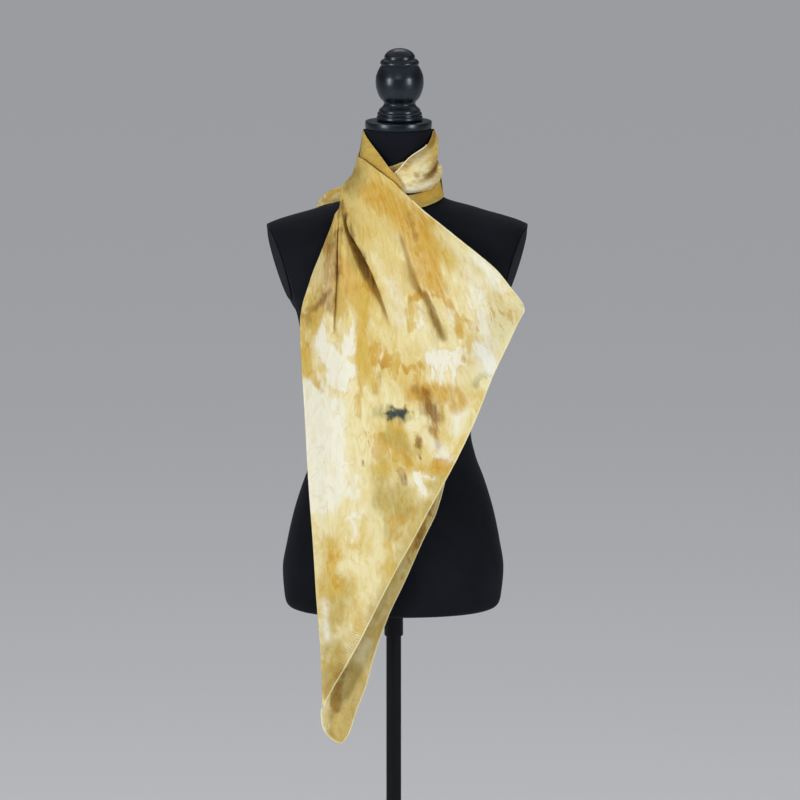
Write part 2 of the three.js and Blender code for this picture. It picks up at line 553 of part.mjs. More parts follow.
const finialOutline = [[0, 0], ...finialProfile.map(({ r, h }) => [r, h]), [0, finialHeight]];
turned("finial", finialOutline, finialMiddle, capBottom + capThick + seam, blackPaint);

// Pole in its socket under the form and in the boss of the base
const socketHeight = hemHeight - seam - socketBottom;
const socketBore = socketHeight - socketRoof;
turned("pole_socket", [
  [poleRadius + seam, 0], [socketRadius - socketChamfer, 0], [socketRadius, socketChamfer],
  [socketRadius, socketHeight - socketFlareHeight], [socketFlareRadius, socketHeight],
  [0, socketHeight], [0, socketBore], [poleRadius + seam, socketBore], [poleRadius + seam, 0],
], 0, socketBottom, blackSteel, 24);

const poleBottom = bossTop - boreDepth + seam;
const poleTop = socketBottom + socketBore - seam;
turned("pole", [[0, 0], [poleRadius, 0], [poleRadius, poleTop - poleBottom], [0, poleTop - poleBottom]],
  0, poleBottom, blackSteel, 24);

turned("stand_base", [
  [0, 0], [baseRadius, 0], [baseRadius, baseThick - baseEdge], [baseRadius - 1.2, baseThick - 1.2],
  [baseRadius - baseEdge, baseThick], [bossRadius + 7, baseThick + 2], [bossRadius, baseThick + 9],
  [bossRadius, bossTop - 2], [bossRadius - 2, bossTop], [poleRadius + seam, bossTop],
  [poleRadius + seam, bossTop - boreDepth], [0, bossTop - boreDepth],
], 0, 0, blackSteel, 40);

// Depth of the hanging panel at a height and a share of its width
function panelDepth(share, z) {
  const columns = ["dLeft", "dQuarter", "dMiddle", "dThree", "dRight"];
  const row = columns.map((column, k) => ({ share: k / 4, depth: read(panelRows, "z", column, z) }));
  return read(row, "share", "depth", share);
}

// Depth of the left fold's outermost line, held clear of the form below the pinch
const pinchHeight = 1398;
const neckRoundTop = 1440;
const pinchFade = 15;
const foldWidens = { from: 700, over: 500 };
function foldEdge(z) {
  const left = read(panelRows, "z", "left", z);
  const hung = read(panelRows, "z", "dLeft", z);
  if (z > pinchHeight) return hung;
  return mix(hung, softMax(hung, clearOfForm(left, z, foldClear), 2), ease((pinchHeight - z) / pinchFade));
}

const foldWidth = (z) => mix(foldRadiusLow, foldRadiusTop, clamp01((z - foldWidens.from) / foldWidens.over));

// Height of the folds over the plain panel
function foldRelief(x, z) {
  const valley = read(foldRows, "z", "valley", z);
  const pleat = read(foldRows, "z", "pleat", z);
  const trough = read(foldRows, "z", "trough", z);
  const room = clamp01((pleat - valley) / fullRoom);
  const valleyWide = valleyReach * mix(narrowValley, 1, room);
  const pleatWide = pleatReach * mix(narrowPleat, 1, room);
  const upright = read(foldRows, "z", "valleyDeep", z) * Math.exp(-Math.abs(x - valley) / valleyWide);
  const under = x < pleat ? Math.exp((x - pleat) / pleatWide) : ease(1 - (x - pleat) / pleatStep);
  const soft = Math.exp(-(((x - trough) / troughReach) ** 2));
  return -upright - read(foldRows, "z", "pleatDeep", z) * under - read(foldRows, "z", "troughDeep", z) * soft;
}

// Shares of the panel's columns: the grid follows the folds from one to the next
const panelColumns = [
  { from: "left", to: "valley", steps: 6 },
  { from: "valley", to: "pleat", steps: 5 },
  { from: "pleat", to: "shoulder", steps: 1 },
  { from: "shoulder", to: "trough", steps: 4 },
  { from: "trough", to: "right", steps: 8 },
];
const panelAcross = panelColumns.reduce((sum, column) => sum + column.steps, 0);

// Depth of the hanging panel at x and z: hung freely, kept clear of the form, and turned in at the left fold
function panelFront(x, z) {
  const left = read(panelRows, "z", "left", z);
  const right = read(panelRows, "z", "right", z);
  const edge = foldEdge(z);
  const inner = Math.min(foldWidth(z), (right - left) * 0.6);
  const turn = Math.sqrt(1 - (1 - clamp01((x - left) / inner)) ** 2);
  const loose = panelDepth(clamp01((x - left) / (right - left)), z) + foldRelief(x, z) * ease((x - left) / foldsBegin);
  const held = Math.max(edge + 1, softMax(loose, clearOfForm(x, z, frontClear), 3));
  const round = z > pinchHeight ? 1 - (1 - turn) * ease((neckRoundTop - z) / (neckRoundTop - pinchHeight)) : turn;
  return Math.max(edge, mix(edge, held, round));
}

function panelPoint(u, z) {
  const lines = {
    left: read(panelRows, "z", "left", z),
    valley: read(foldRows, "z", "valley", z),
    pleat: read(foldRows, "z", "pleat", z),
    trough: read(foldRows, "z", "trough", z),
    right: read(panelRows, "z", "right", z),
  };
  lines.shoulder = lines.pleat + Math.min(pleatStep, (lines.trough - lines.pleat) / 5);
  let place = u * panelAcross;
  let x = lines.right;
  for (const { from, to, steps } of panelColumns) {
    if (place <= steps) {
      const t = from === "left" ? (place / steps) ** 1.5 : place / steps;
      x = mix(lines[from], lines[to], t);
      break;
    }
    place -= steps;
  }
  return new THREE.Vector3(x, -panelFront(x, z), z);
}

const panelTop = 1469;
const panelBottom = 672;
// Heights of the panel's rows: close together round the neck and over the folds
const panelBands = [
  { from: panelTop, to: 1398, steps: 10 },
  { from: 1398, to: 1245, steps: 15 },
  { from: 1245, to: 1000, steps: 9 },
  { from: 1000, to: panelBottom, steps: 10 },
];
const panelDown = panelBands.reduce((sum, band) => sum + band.steps, 0);

function panelHeight(v) {
  let place = v * panelDown;
  for (const { from, to, steps } of panelBands) {
    if (place <= steps) return mix(from, to, place / steps);
    place -= steps;
  }
  return panelBottom;
}

addPiece("scarf_front_panel", clothGeometry((u, v) => panelPoint(u, panelHeight(v)), panelAcross, panelDown), silk);

// The layer behind shares the panel's left fold, then runs free to the lowest corner
function backPoint(u, z) {
  const shared = z > panelBottom;
  const own = read(backLeft, "z", "left", z);
  const left = (shared ? read(panelRows, "z", "left", z) : own) + rimInset * ease((z - panelBottom) / 20);
  const edge = (shared ? foldEdge(z) : read(backLeft, "z", "depth", z)) - rimGap;
  const right = read(backRows, "z", "right", z);
  const share = u ** 1.25;
  const x = mix(left, right, share);
  const row = [
    { share: 0, depth: read(backRows, "z", "dThird", z) },
    { share: 1 / 3, depth: read(backRows, "z", "dThird", z) },
    { share: 2 / 3, depth: read(backRows, "z", "dTwo", z) },
    { share: 1, depth: read(backRows, "z", "dRight", z) },
  ];
  const hang = read(row, "share", "depth", share);
  const behind = shared ? -softMax(-hang, layerGap - panelFront(x, z), 1) : hang;
  const turned = mix(edge, behind, ease((x - left) / foldWidth(z)));
  return new THREE.Vector3(x, -softMax(turned, clearOfForm(x, z, backClear), 0.6), z);
}

addPiece("scarf_back_layer", clothGeometry((u, v) => backPoint(u, mix(backTop, backBottom, v)), 12, 38), silkPale);

// Point on a band round the neck: across from its first line to its last, along from end to end
function bandPoint(rows, lines, across, along) {
  const turn = mix(rows[0].turn, rows[rows.length - 1].turn, along);
  const profile = [];
  for (let k = 1; k <= lines; k += 1) {
    profile.push({
      at: (k - 1) / (lines - 1),
      z: read(rows, "turn", `z${k}`, turn),
      r: read(rows, "turn", `r${k}`, turn),
    });
  }
  const z = read(profile, "at", "z", across);
  const r = read(profile, "at", "r", across);
  const angle = THREE.MathUtils.degToRad(turn);
  return new THREE.Vector3(middle(z) - r * Math.sin(angle), -r * Math.cos(angle), z);
}

addPiece("scarf_neck_band_left", clothGeometry((u, v) => bandPoint(leftBand, 2, v, u), 14, 4), silk);
addPiece("scarf_neck_band_right", clothGeometry((u, v) => bandPoint(upperBand, 5, v, u), 20, 10), silkPale);
addPiece("scarf_neck_band_lower", clothGeometry((u, v) => bandPoint(lowerBand, 3, v, u), 13, 4), silk);
addPiece("scarf_inner_fold", clothGeometry((u, v) => bandPoint(innerFold, 3, v, u), 6, 3), silkPale);

// The wrap behind the neck starts on the panel's left edge, just behind it
function wrapPoint(u, v) {
  const ring = bandPoint(backWrap, 5, v, u);
  const end = bandPoint(backWrap, 5, v, 0);
  const onPanel = end.z < panelTop;
  const rim = new THREE.Vector3(
    onPanel ? read(panelRows, "z", "left", end.z) : end.x,
    onPanel ? -read(panelRows, "z", "dLeft", end.z) + wrapGap : end.y + bandGap,
    end.z,
  );
  return ring.add(rim.sub(end).multiplyScalar(1 - ease(u / wrapPullEnds)));
}

addPiece("scarf_neck_wrap_back", clothGeometry(wrapPoint, 22, 9), silk);

// The tail is a small fold, open below, that lies over the shoulder
function tailPoint(u, v) {
  const x = mix(tailRows[0].x, tailRows[tailRows.length - 1].x, v);
  const get = (column) => read(tailRows, "x", column, x);
  const way = (u - 0.5) * 2;
  const y = get("middleY") + (way < 0 ? way * get("front") : way * get("back"));
  const z = get("top") - get("drop") * Math.abs(way) ** 1.7;
  return new THREE.Vector3(x, y, Math.max(z, shoulderTop(x, y) + tailClear));
}

addPiece("scarf_tail_end", clothGeometry(tailPoint, 8, 10), silkPale);

export default group;
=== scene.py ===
import math

import bpy
import numpy as np
from mathutils import Matrix, Vector, noise


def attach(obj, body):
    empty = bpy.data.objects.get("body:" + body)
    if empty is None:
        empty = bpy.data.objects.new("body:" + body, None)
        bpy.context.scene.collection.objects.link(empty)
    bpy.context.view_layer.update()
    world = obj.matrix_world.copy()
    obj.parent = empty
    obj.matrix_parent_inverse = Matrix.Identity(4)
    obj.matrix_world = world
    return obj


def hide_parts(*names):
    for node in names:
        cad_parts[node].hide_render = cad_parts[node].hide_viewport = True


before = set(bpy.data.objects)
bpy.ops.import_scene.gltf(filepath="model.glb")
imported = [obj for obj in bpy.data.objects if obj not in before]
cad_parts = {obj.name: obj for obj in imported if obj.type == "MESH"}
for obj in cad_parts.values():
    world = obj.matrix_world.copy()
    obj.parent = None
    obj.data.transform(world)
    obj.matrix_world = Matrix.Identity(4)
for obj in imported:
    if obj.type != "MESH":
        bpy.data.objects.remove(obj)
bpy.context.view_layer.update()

# The camera stands ten metres in front of the form and looks down on it a little, with a long lens, so that
# the pole runs out of the lower edge of the picture.
camera_aim = Vector((0.0093, 0.0, 1.107))
camera_distance = 10.0
camera_drop = math.radians(9.4)
half_view = 0.5884
camera_data = bpy.data.cameras.new("camera")
camera_data.angle = 2 * math.atan(half_view / camera_distance)
camera_data.clip_end = 100
camera = bpy.data.objects.new("camera", camera_data)
camera.location = camera_aim + camera_distance * Vector((0, -math.cos(camera_drop), math.sin(camera_drop)))
camera.rotation_euler = (math.pi / 2 - camera_drop, 0, 0)
bpy.context.scene.collection.objects.link(camera)
bpy.context.scene.camera = camera

# Studio: a plain pale floor, two tall soft boxes to the left and right of the camera, broad weak ones above it
# and high behind the form, a soft glow from the ceiling, and an even pale surround.
floor_half = 30.0
bpy.ops.mesh.primitive_plane_add(size=2 * floor_half, location=(0, 0, -0.0005))
floor = bpy.context.object
floor.name = "studio_floor"
floor_paper = bpy.data.materials.new("pale_floor")
floor_paper.use_nodes = True
floor_paper.node_tree.nodes["Principled BSDF"].inputs["Base Color"].default_value = (0.80, 0.81, 0.84, 1)
floor_paper.node_tree.nodes["Principled BSDF"].inputs["Roughness"].default_value = 0.9
floor.data.materials.append(floor_paper)

for light_name, turn, distance, height, width, tall, watts in [
    ("soft_box_left", -50, 3.2, 1.85, 0.78, 1.3, 51),
    ("soft_box_right", 47, 3.2, 1.85, 0.78, 1.3, 45),
    ("soft_box_above", -8, 4.5, 3.6, 2.4, 1.2, 20),
    ("soft_box_behind", 180, 3.0, 4.8, 2.0, 1.2, 16),
]:
    light_data = bpy.data.lights.new(light_name, "AREA")
    light_data.shape = "RECTANGLE"
    light_data.size = width
    light_data.size_y = tall
    light_data.energy = watts
    light = bpy.data.objects.new(light_name, light_data)
    way = math.radians(turn)
    light.location = (distance * math.sin(way), -distance * math.cos(way), height)
    light.rotation_euler = (Vector((0, 0, 1.15)) - light.location).to_track_quat("-Z", "Y").to_euler()
    bpy.context.scene.collection.objects.link(light)

ceiling_data = bpy.data.lights.new("ceiling_glow", "SUN")
ceiling_data.energy = 0.9
ceiling_data.angle = math.radians(120)
ceiling = bpy.data.objects.new("ceiling_glow", ceiling_data)
bpy.context.scene.collection.objects.link(ceiling)

surround = bpy.data.worlds.new("pale_surround")
surround.use_nodes = True
surround.node_tree.nodes["Background"].inputs["Color"].default_value = (0.80, 0.82, 0.86, 1)
surround.node_tree.nodes["Background"].inputs["Strength"].default_value = 0.15
bpy.context.scene.world = surround
bpy.context.scene.view_settings.view_transform = "Standard"


# Stand base: a heavy round steel plate with a boss welded on for the pole, powder-coated satin black. Each
# turned piece of the stand starts as one ring and is drawn up and widened row by row.
def add_node(tree, kind, settings=None, sockets=None):
    node = tree.nodes.new(kind)
    for key, value in (settings or {}).items():
        setattr(node, key, value)
    for key, value in (sockets or {}).items():
        if isinstance(value, bpy.types.NodeSocket):
            tree.links.new(value, node.inputs[key])
        else:
            node.inputs[key].default_value = value
    return node


def reckon(tree, operation, *terms):
    """Result of one sum on numbers or sockets."""
    return add_node(tree, "ShaderNodeMath", {"operation": operation}, dict(enumerate(terms))).outputs[0]


def spread(tree, value, low, high, out_low, out_high):
    """A value taken smoothly from one range to another."""
    sockets = {"Value": value, "From Min": low, "From Max": high, "To Min": out_low, "To Max": out_high}
    return add_node(tree, "ShaderNodeMapRange", {"interpolation_type": "SMOOTHSTEP"},
        sockets).outputs["Result"]


def new_group(name, inputs, outputs):
    """Empty node group with its named sockets, its input node and its output node."""
    tree = bpy.data.node_groups.new(name, "ShaderNodeTree")
    for socket, kind, value in inputs:
        made = tree.interface.new_socket(socket, in_out="INPUT", socket_type=kind)
        if value is not None:
            made.default_value = value
    for socket, kind in outputs:
        tree.interface.new_socket(socket, in_out="OUTPUT", socket_type=kind)
    return tree, tree.nodes.new("NodeGroupInput").outputs, tree.nodes.new("NodeGroupOutput")


def use_group(tree, group, sockets):
    return add_node(tree, "ShaderNodeGroup", {"node_tree": group}, sockets).outputs


def new_material(name, values):
    material = bpy.data.materials.new(name)
    material.use_nodes = True
    shader = material.node_tree.nodes["Principled BSDF"]
    for key, value in values.items():
        shader.inputs[key].default_value = value
    return material, material.node_tree, shader


# Coating with a fine orange peel, a little dust and faint rubbed marks
coating, coat_in, coat_out = new_group(
    "satin_coating",
    [("Vector", "NodeSocketVector", None), ("Colour", "NodeSocketColor", (0.02, 0.02, 0.02, 1)),
     ("Dust", "NodeSocketFloat", 0.1), ("Gloss", "NodeSocketFloat", 0.3), ("Peel", "NodeSocketFloat", 700.0)],
    [("Color", "NodeSocketColor"), ("Roughness", "NodeSocketFloat"), ("Height", "NodeSocketFloat")],
)
peel = add_node(coating, "ShaderNodeTexNoise", None, {"Vector": coat_in["Vector"], "Scale": coat_in["Peel"],
    "Detail": 2.0})
rubbed = add_node(coating, "ShaderNodeTexNoise", None, {"Vector": coat_in["Vector"], "Scale": 38.0,
    "Detail": 5.0, "Roughness": 0.65})
facing_up = add_node(coating, "ShaderNodeSeparateXYZ", None, {0: add_node(coating,
    "ShaderNodeNewGeometry").outputs["Normal"]})
dusty = reckon(coating, "MULTIPLY", spread(coating, facing_up.outputs["Z"], 0.2, 1.0, 0.15, 1.0),
               reckon(coating, "MULTIPLY", rubbed.outputs["Fac"], coat_in["Dust"]))
coated = add_node(coating, "ShaderNodeMix", {"data_type": "RGBA"}, {"Factor": dusty, 6: coat_in["Colour"],
    7: (0.30, 0.29, 0.28, 1)})
coating.links.new(coated.outputs[2], coat_out.inputs["Color"])
coating.links.new(reckon(coating, "ADD", coat_in["Gloss"], spread(coating, rubbed.outputs["Fac"], 0.35, 0.7,
    -0.02, 0.05)), coat_out.inputs["Roughness"])
coating.links.new(peel.outputs["Fac"], coat_out.inputs["Height"])


def coated_material(name, colour, gloss, dust, peel_scale, values):
    material, tree, shader = new_material(name, values)
    place = add_node(tree, "ShaderNodeTexCoord").outputs["Object"]
    coat = use_group(tree, coating, {"Vector": place, "Colour": colour, "Dust": dust, "Gloss": gloss,
        "Peel": peel_scale})
    tree.links.new(coat["Color"], shader.inputs["Base Color"])
    tree.links.new(coat["Roughness"], shader.inputs["Roughness"])
    bump = add_node(tree, "ShaderNodeBump", None, {"Height": coat["Height"], "Strength": 0.12,
        "Distance": 0.0004})
    tree.links.new(bump.outputs["Normal"], shader.inputs["Normal"])
    return material


black_steel = coated_material("black_coated_steel", (0.0030, 0.0034, 0.0046, 1), 0.52, 0.010, 900.0,
    {"Specular IOR Level": 0.14})


def turned_piece(name, outline, x, z, sides, edge_round, material, replaced):
    """Lathe-turned solid: one ring, drawn up and widened or narrowed to each radius and height (mm)."""
    bpy.ops.object.select_all(action="DESELECT")
    (radius, height), rest = outline[0], outline[1:]
    bpy.ops.mesh.primitive_circle_add(vertices=sides, radius=radius / 1000, fill_type="NGON",
        location=(x / 1000, 0, (z + height) / 1000))
    piece = bpy.context.object
    piece.name = name
    bpy.ops.object.mode_set(mode="EDIT")
    for next_radius, next_height in rest:
        rise = (next_height - height) / 1000
        bpy.ops.mesh.extrude_region_move(TRANSFORM_OT_translate={"value": (0, 0, rise)})
        grow = next_radius / radius
        bpy.ops.transform.resize(value=(grow, grow, 1), center_override=(x / 1000, 0,
            (z + next_height) / 1000))
        radius, height = next_radius, next_height
    bpy.ops.mesh.select_all(action="SELECT")
    bpy.ops.mesh.normals_make_consistent(inside=False)
    bpy.ops.object.mode_set(mode="OBJECT")
    bpy.ops.object.transform_apply(location=True, rotation=True, scale=True)
    if edge_round:
        bevel = piece.modifiers.new("edges", "BEVEL")
        bevel.width = edge_round / 1000
        bevel.segments = 2
        bevel.limit_method = "ANGLE"
        bevel.angle_limit = math.radians(35)
        bpy.ops.object.modifier_apply(modifier=bevel.name)
    bpy.ops.object.shade_smooth_by_angle(angle=math.radians(35))
    piece.data.materials.append(material)
    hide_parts(replaced)
    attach(piece, "root")
    return piece


base_outline = [
    (169.0, 0), (170.0, 1), (170.0, 5.6), (168.8, 7.2), (167.2, 8), (32, 8.4), (27.5, 9.2), (24.4, 11.2),
    (22, 14.2), (20.4, 18), (20, 22), (20, 44.2), (19.4, 45.4), (18.2, 46), (12.2, 46), (11.35, 45.2),
    (11.35, 11),
]
turned_piece("stand_base_plate", base_outline, 0, 0, 128, 0, black_steel, "stand_base")

# Pole: drawn steel tube, 22 mm, coated with the base, standing in the boss and reaching up into the socket.
pole_outline = [(10.4, 10.3), (11, 10.9), (11, 787), (10.4, 787.7)]
turned_piece("stand_pole", pole_outline, 0, 0, 64, 0, black_steel, "pole")

# Socket: short steel sleeve let into the board under the form, with a flared collar against the velvet.
socket_outline = [
    (11.4, 788.4), (11.4, 754.4), (11.9, 754), (12.6, 754), (13.6, 754.9), (13.9, 756), (13.9, 793.2),
    (14.6, 794.4), (15.5, 796.4), (15.5, 798.3), (15.1, 798.7), (11.6, 798.7),
]
turned_piece("stand_socket", socket_outline, 0, 0, 64, 0, black_steel, "pole_socket")


# The form: a padded torso and neck in one, covered in short black velvet, level sections below, cut flat at
# both armholes. Sections in millimetres: half width, depth in front and behind, squareness.
def table(names, rows):
    """Columns of a table by name."""
    return {name: np.array([row[k] for row in rows], float) for k, name in enumerate(names.split())}


def smooth(rows, key, column, at):
    """Smooth value of a column between the rows, never past the rows' own values."""
    order = np.argsort(rows[key])
    place, value = rows[key][order], rows[column][order]
    gap = np.diff(place)
    slope = np.diff(value) / gap
    before, after = slope[:-1], slope[1:]
    same_way = before * after > 0
    inner = np.where(same_way, 2 * before * after / np.where(same_way, before + after, 1), 0)
    bend = np.concatenate([slope[:1], inner, slope[-1:]])
    at = np.clip(at, place[0], place[-1])
    k = np.clip(np.searchsorted(place, at, side="right") - 1, 0, len(gap) - 1)
    t = (at - place[k]) / gap[k]
    rise, start, end = value[k + 1] - value[k], bend[k] * gap[k], bend[k + 1] * gap[k]
    return value[k] + t * start + t * t * (3 * rise - 2 * start - end) + t**3 * (start + end - 2 * rise)


form_sections = table("z half front back square", [
    (799, 147, 95, 107, 2.3), (801.5, 153, 100, 112, 2.3), (807, 157.5, 103.5, 115.5, 2.3),
    (818, 160, 105, 117.5, 2.3), (857, 163, 107, 120, 2.3), (898, 156.7, 106, 115, 2.25),
    (928, 150.6, 104, 109, 2.2), (952, 144.5, 102, 103, 2.2), (991, 132, 97, 92, 2.2),
    (1025, 119, 93.5, 84, 2.2), (1059, 112, 92, 80, 2.2), (1100, 115.5, 95, 83, 2.2),
    (1150, 125, 105, 91, 2.25), (1185, 133, 114, 97, 2.3), (1215, 141, 119, 101, 2.3),
    (1243, 148, 117.5, 104, 2.3), (1257, 160, 116, 105.5, 2.35), (1271, 178, 113.5, 106.5, 2.35),
    (1288, 192, 110.5, 106.5, 2.35), (1310, 201, 105.5, 105, 2.35), (1335, 204, 98.5, 101, 2.3),
    (1354, 202, 91, 95, 2.2), (1364.5, 196, 85.5, 90, 2.1), (1372, 182, 81, 86, 2),
    (1380, 158, 76, 81, 1.95), (1387, 133, 71, 76, 1.9), (1394, 110, 66, 71, 1.9), (1400, 86, 62, 66, 1.95),
    (1404.5, 73, 59.5, 63, 2), (1410, 64.5, 57.5, 60, 2), (1419, 58.5, 55, 57, 2), (1434, 54.5, 53, 54, 2),
    (1455, 52, 51.5, 52, 2), (1480, 50.5, 50.3, 50.5, 2), (1503, 49.8, 49.6, 49.6, 2),
    (1507.5, 49, 48.8, 48.8, 2), (1509.7, 47, 46.8, 46.8, 2),
])
form_bottom = 799.0
neck_top = 1509.7
form_sides = 144
arm_face_x, arm_face_z, arm_tilt, arm_turn = 182.5, 1345.0, 0.28, 0.16
armhole_floor = 1.245


def middle(z):
    """The form leans a little: the middle line's place along X at a height."""
    return -0.8 + 0.0122 * (z - 857)


form_heights = [form_bottom, 799.6, 800.4, 801.5, 803.2, 805, 807, 810, 814]
form_heights += list(np.arange(818, 1360, 5.2)) + list(np.arange(1361, 1412, 1.6)) + list(np.arange(1413,
    1504, 4.5))
form_heights += [1504.5, 1506, 1507.5, 1508.4, 1509.2, neck_top]
form_angles = np.arange(form_sides) / form_sides * 2 * math.pi
ring_points = []
for z in form_heights:
    half, front, back, square = (float(smooth(form_sections, "z", c, z)) for c in ("half", "front", "back",
        "square"))
    c, s = np.cos(form_angles), np.sin(form_angles)
    x = middle(z) + half * np.sign(c) * np.abs(c) ** (2 / square)
    y = np.where(s < 0, front, back) * np.sign(s) * np.abs(s) ** (2 / square)
    ring_points += [(px / 1000, py / 1000, z / 1000) for px, py in zip(x, y)]
ring_count = len(form_heights)
ring_faces = [
    (j * form_sides + k, j * form_sides + (k + 1) % form_sides, (j + 1) * form_sides + (k + 1) % form_sides,
     (j + 1) * form_sides + k)
    for j in range(ring_count - 1) for k in range(form_sides)
]
ring_faces.append(tuple(reversed(range(form_sides))))
ring_faces.append(tuple((ring_count - 1) * form_sides + k for k in range(form_sides)))
form_mesh = bpy.data.meshes.new("velvet_form")
form_mesh.from_pydata(ring_points, [], ring_faces)
velvet_form = bpy.data.objects.new("velvet_form", form_mesh)
bpy.context.scene.collection.objects.link(velvet_form)


def arm_way(side):
    """The way out of an armhole's flat face."""
    level = math.cos(arm_tilt)
    return Vector((side * level * math.cos(arm_turn), -level * math.sin(arm_turn), -math.sin(arm_tilt)))


def arm_point(side):
    return Vector((middle(arm_face_z) + side * arm_face_x, 0, arm_face_z)) / 1000


bpy.ops.object.select_all(action="DESELECT")
bpy.context.view_layer.objects.active = velvet_form
velvet_form.select_set(True)
for side in (-1, 1):
    bpy.ops.object.mode_set(mode="EDIT")
    bpy.ops.mesh.select_all(action="DESELECT")
    bpy.ops.object.mode_set(mode="OBJECT")
    for face in form_mesh.polygons:
        face.select = face.center.z > armhole_floor and face.center.x * side > 0.06
    bpy.ops.object.mode_set(mode="EDIT")
    bpy.ops.mesh.bisect(plane_co=arm_point(side), plane_no=arm_way(side), use_fill=True, clear_outer=True)
bpy.ops.mesh.select_all(action="SELECT")
bpy.ops.mesh.remove_doubles(threshold=0.00002)
bpy.ops.mesh.normals_make_consistent(inside=False)
bpy.ops.object.mode_set(mode="OBJECT")
bpy.ops.object.shade_smooth_by_angle(angle=math.radians(40))

# Short pile that lies unevenly where hands have stroked it
velvet_pile, pile_in, pile_out = new_group(
    "velvet_pile",
    [("Vector", "NodeSocketVector", None), ("Colour", "NodeSocketColor", (0.01, 0.01, 0.01, 1)),
     ("Lift", "NodeSocketFloat", 0.5)],
    [("Color", "NodeSocketColor"), ("Height", "NodeSocketFloat")],
)
stroked = add_node(velvet_pile, "ShaderNodeTexNoise", None, {"Vector": pile_in["Vector"], "Scale": 9.0,
    "Detail": 3.0, "Distortion": 0.6})
tufts = add_node(velvet_pile, "ShaderNodeTexNoise", None, {"Vector": pile_in["Vector"], "Scale": 1500.0,
    "Detail": 2.0})
lint = add_node(velvet_pile, "ShaderNodeTexVoronoi", None, {"Vector": pile_in["Vector"], "Scale": 130.0})
lint_speck = spread(velvet_pile, lint.outputs["Distance"], 0.02, 0.05, 0.35, 0.0)
shade = spread(velvet_pile, stroked.outputs["Fac"], 0.3, 0.7, 0.75, 1.35)
lit = add_node(velvet_pile, "ShaderNodeVectorMath", {"operation": "SCALE"},
    {0: pile_in["Colour"], "Scale": shade})
flecked = add_node(velvet_pile, "ShaderNodeMix", {"data_type": "RGBA"},
    {"Factor": reckon(velvet_pile, "MULTIPLY", lint_speck, pile_in["Lift"]), 6: lit.outputs[0],
    7: (0.16, 0.16, 0.17, 1)})
velvet_pile.links.new(flecked.outputs[2], pile_out.inputs["Color"])
velvet_pile.links.new(tufts.outputs["Fac"], pile_out.inputs["Height"])


def velvet_material(name, colour, lift, values):
    material, tree, shader = new_material(name, values)
    place = add_node(tree, "ShaderNodeTexCoord").outputs["Object"]
    pile = use_group(tree, velvet_pile, {"Vector": place, "Colour": colour, "Lift": lift})
    tree.links.new(pile["Color"], shader.inputs["Base Color"])
    bump = add_node(tree, "ShaderNodeBump", None, {"Height": pile["Height"], "Strength": 0.5,
        "Distance": 0.0006})
    tree.links.new(bump.outputs["Normal"], shader.inputs["Normal"])
    return material


form_velvet = velvet_material("black_velvet", (0.0055, 0.0065, 0.0092, 1), 0.10,
    {"Roughness": 0.95, "Specular IOR Level": 0.10, "Sheen Weight": 0.06, "Sheen Roughness": 0.38,
    "Sheen Tint": (0.55, 0.60, 0.75, 1)})
velvet_form.data.materials.append(form_velvet)
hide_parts("form_torso")
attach(velvet_form, "root")

# Arm plates: thin oval boards pinned over the armholes, covered in the same velvet, pile lying outwards. Their
# velvet is a copy of the form's, painted a little lighter for the sheen on their rims.
plate_wide, plate_high, plate_thick = 112.0, 108.0, 2.4
plate_middle_z, plate_forward, plate_gap = 1311.0, 12.0, 0.3
plate_velvet_painted_sheen = velvet_material("plate_velvet_painted_sheen", (0.0070, 0.0080, 0.0108, 1), 0.10,
    {"Roughness": 0.95, "Specular IOR Level": 0.08, "Sheen Weight": 0.03, "Sheen Roughness": 0.45,
    "Sheen Tint": (0.6, 0.64, 0.75, 1)})
for name, node, side in [("velvet_plate_left", "arm_plate_left", -1),
        ("velvet_plate_right", "arm_plate_right", 1)]:
    bpy.ops.object.select_all(action="DESELECT")
    bpy.ops.mesh.primitive_circle_add(vertices=96, radius=0.5, fill_type="NGON")
    plate = bpy.context.object
    plate.name = name
    bpy.ops.transform.resize(value=(plate_wide / 1000, plate_high / 1000, 1))
    bpy.ops.object.transform_apply(scale=True)
    bpy.ops.object.mode_set(mode="EDIT")
    bpy.ops.mesh.extrude_region_move(TRANSFORM_OT_translate={"value": (0, 0, plate_thick / 1000)})
    bpy.ops.mesh.inset(thickness=0.0009, depth=0)
    bpy.ops.mesh.inset(thickness=0.012, depth=0.00025)
    bpy.ops.mesh.select_all(action="SELECT")
    bpy.ops.mesh.normals_make_consistent(inside=False)
    bpy.ops.object.mode_set(mode="OBJECT")
    bevel = plate.modifiers.new("rolled_rim", "BEVEL")
    bevel.width = 0.0007
    bevel.segments = 2
    bpy.ops.object.modifier_apply(modifier=bevel.name)
    out = arm_way(side)
    level = Vector((0, 0, 1)).cross(out).normalized()
    up = out.cross(level)
    place = arm_point(side) + up * ((plate_middle_z - arm_face_z) / 1000 / up.z) + out * (plate_gap / 1000)
    place -= level * side * plate_forward / 1000
    plate.data.transform(Matrix((
        (level.x, up.x, out.x, place.x), (level.y, up.y, out.y, place.y), (level.z, up.z, out.z, place.z),
        (0, 0, 0, 1),
    )))
    bpy.ops.object.shade_smooth_by_angle(angle=math.radians(40))
    plate.data.materials.append(plate_velvet_painted_sheen)
    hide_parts(node)
    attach(plate, "root")

# Neck cap and finial: turned wood, stained and painted satin black, the cap screwed on the neck and the
# finial doweled into it. The finial has a stepped foot, a waist, a ball and a stepped crown.
black_paint = coated_material("satin_black_paint", (0.0020, 0.0032, 0.0056, 1), 0.30, 0.002, 420.0,
    {"Specular IOR Level": 0.52, "Specular Tint": (0.72, 0.88, 1.0, 1)})
cap_bottom = neck_top + 0.3
cap_outline = [(44, 0), (47.2, 0.15), (48.4, 0.8), (48.8, 2.0), (48.8, 9.0), (48.4, 10.2), (47.2, 10.85),
    (44, 11)]
turned_piece("neck_cap_disc", cap_outline, middle(neck_top), cap_bottom, 128, 0, black_paint, "neck_cap")

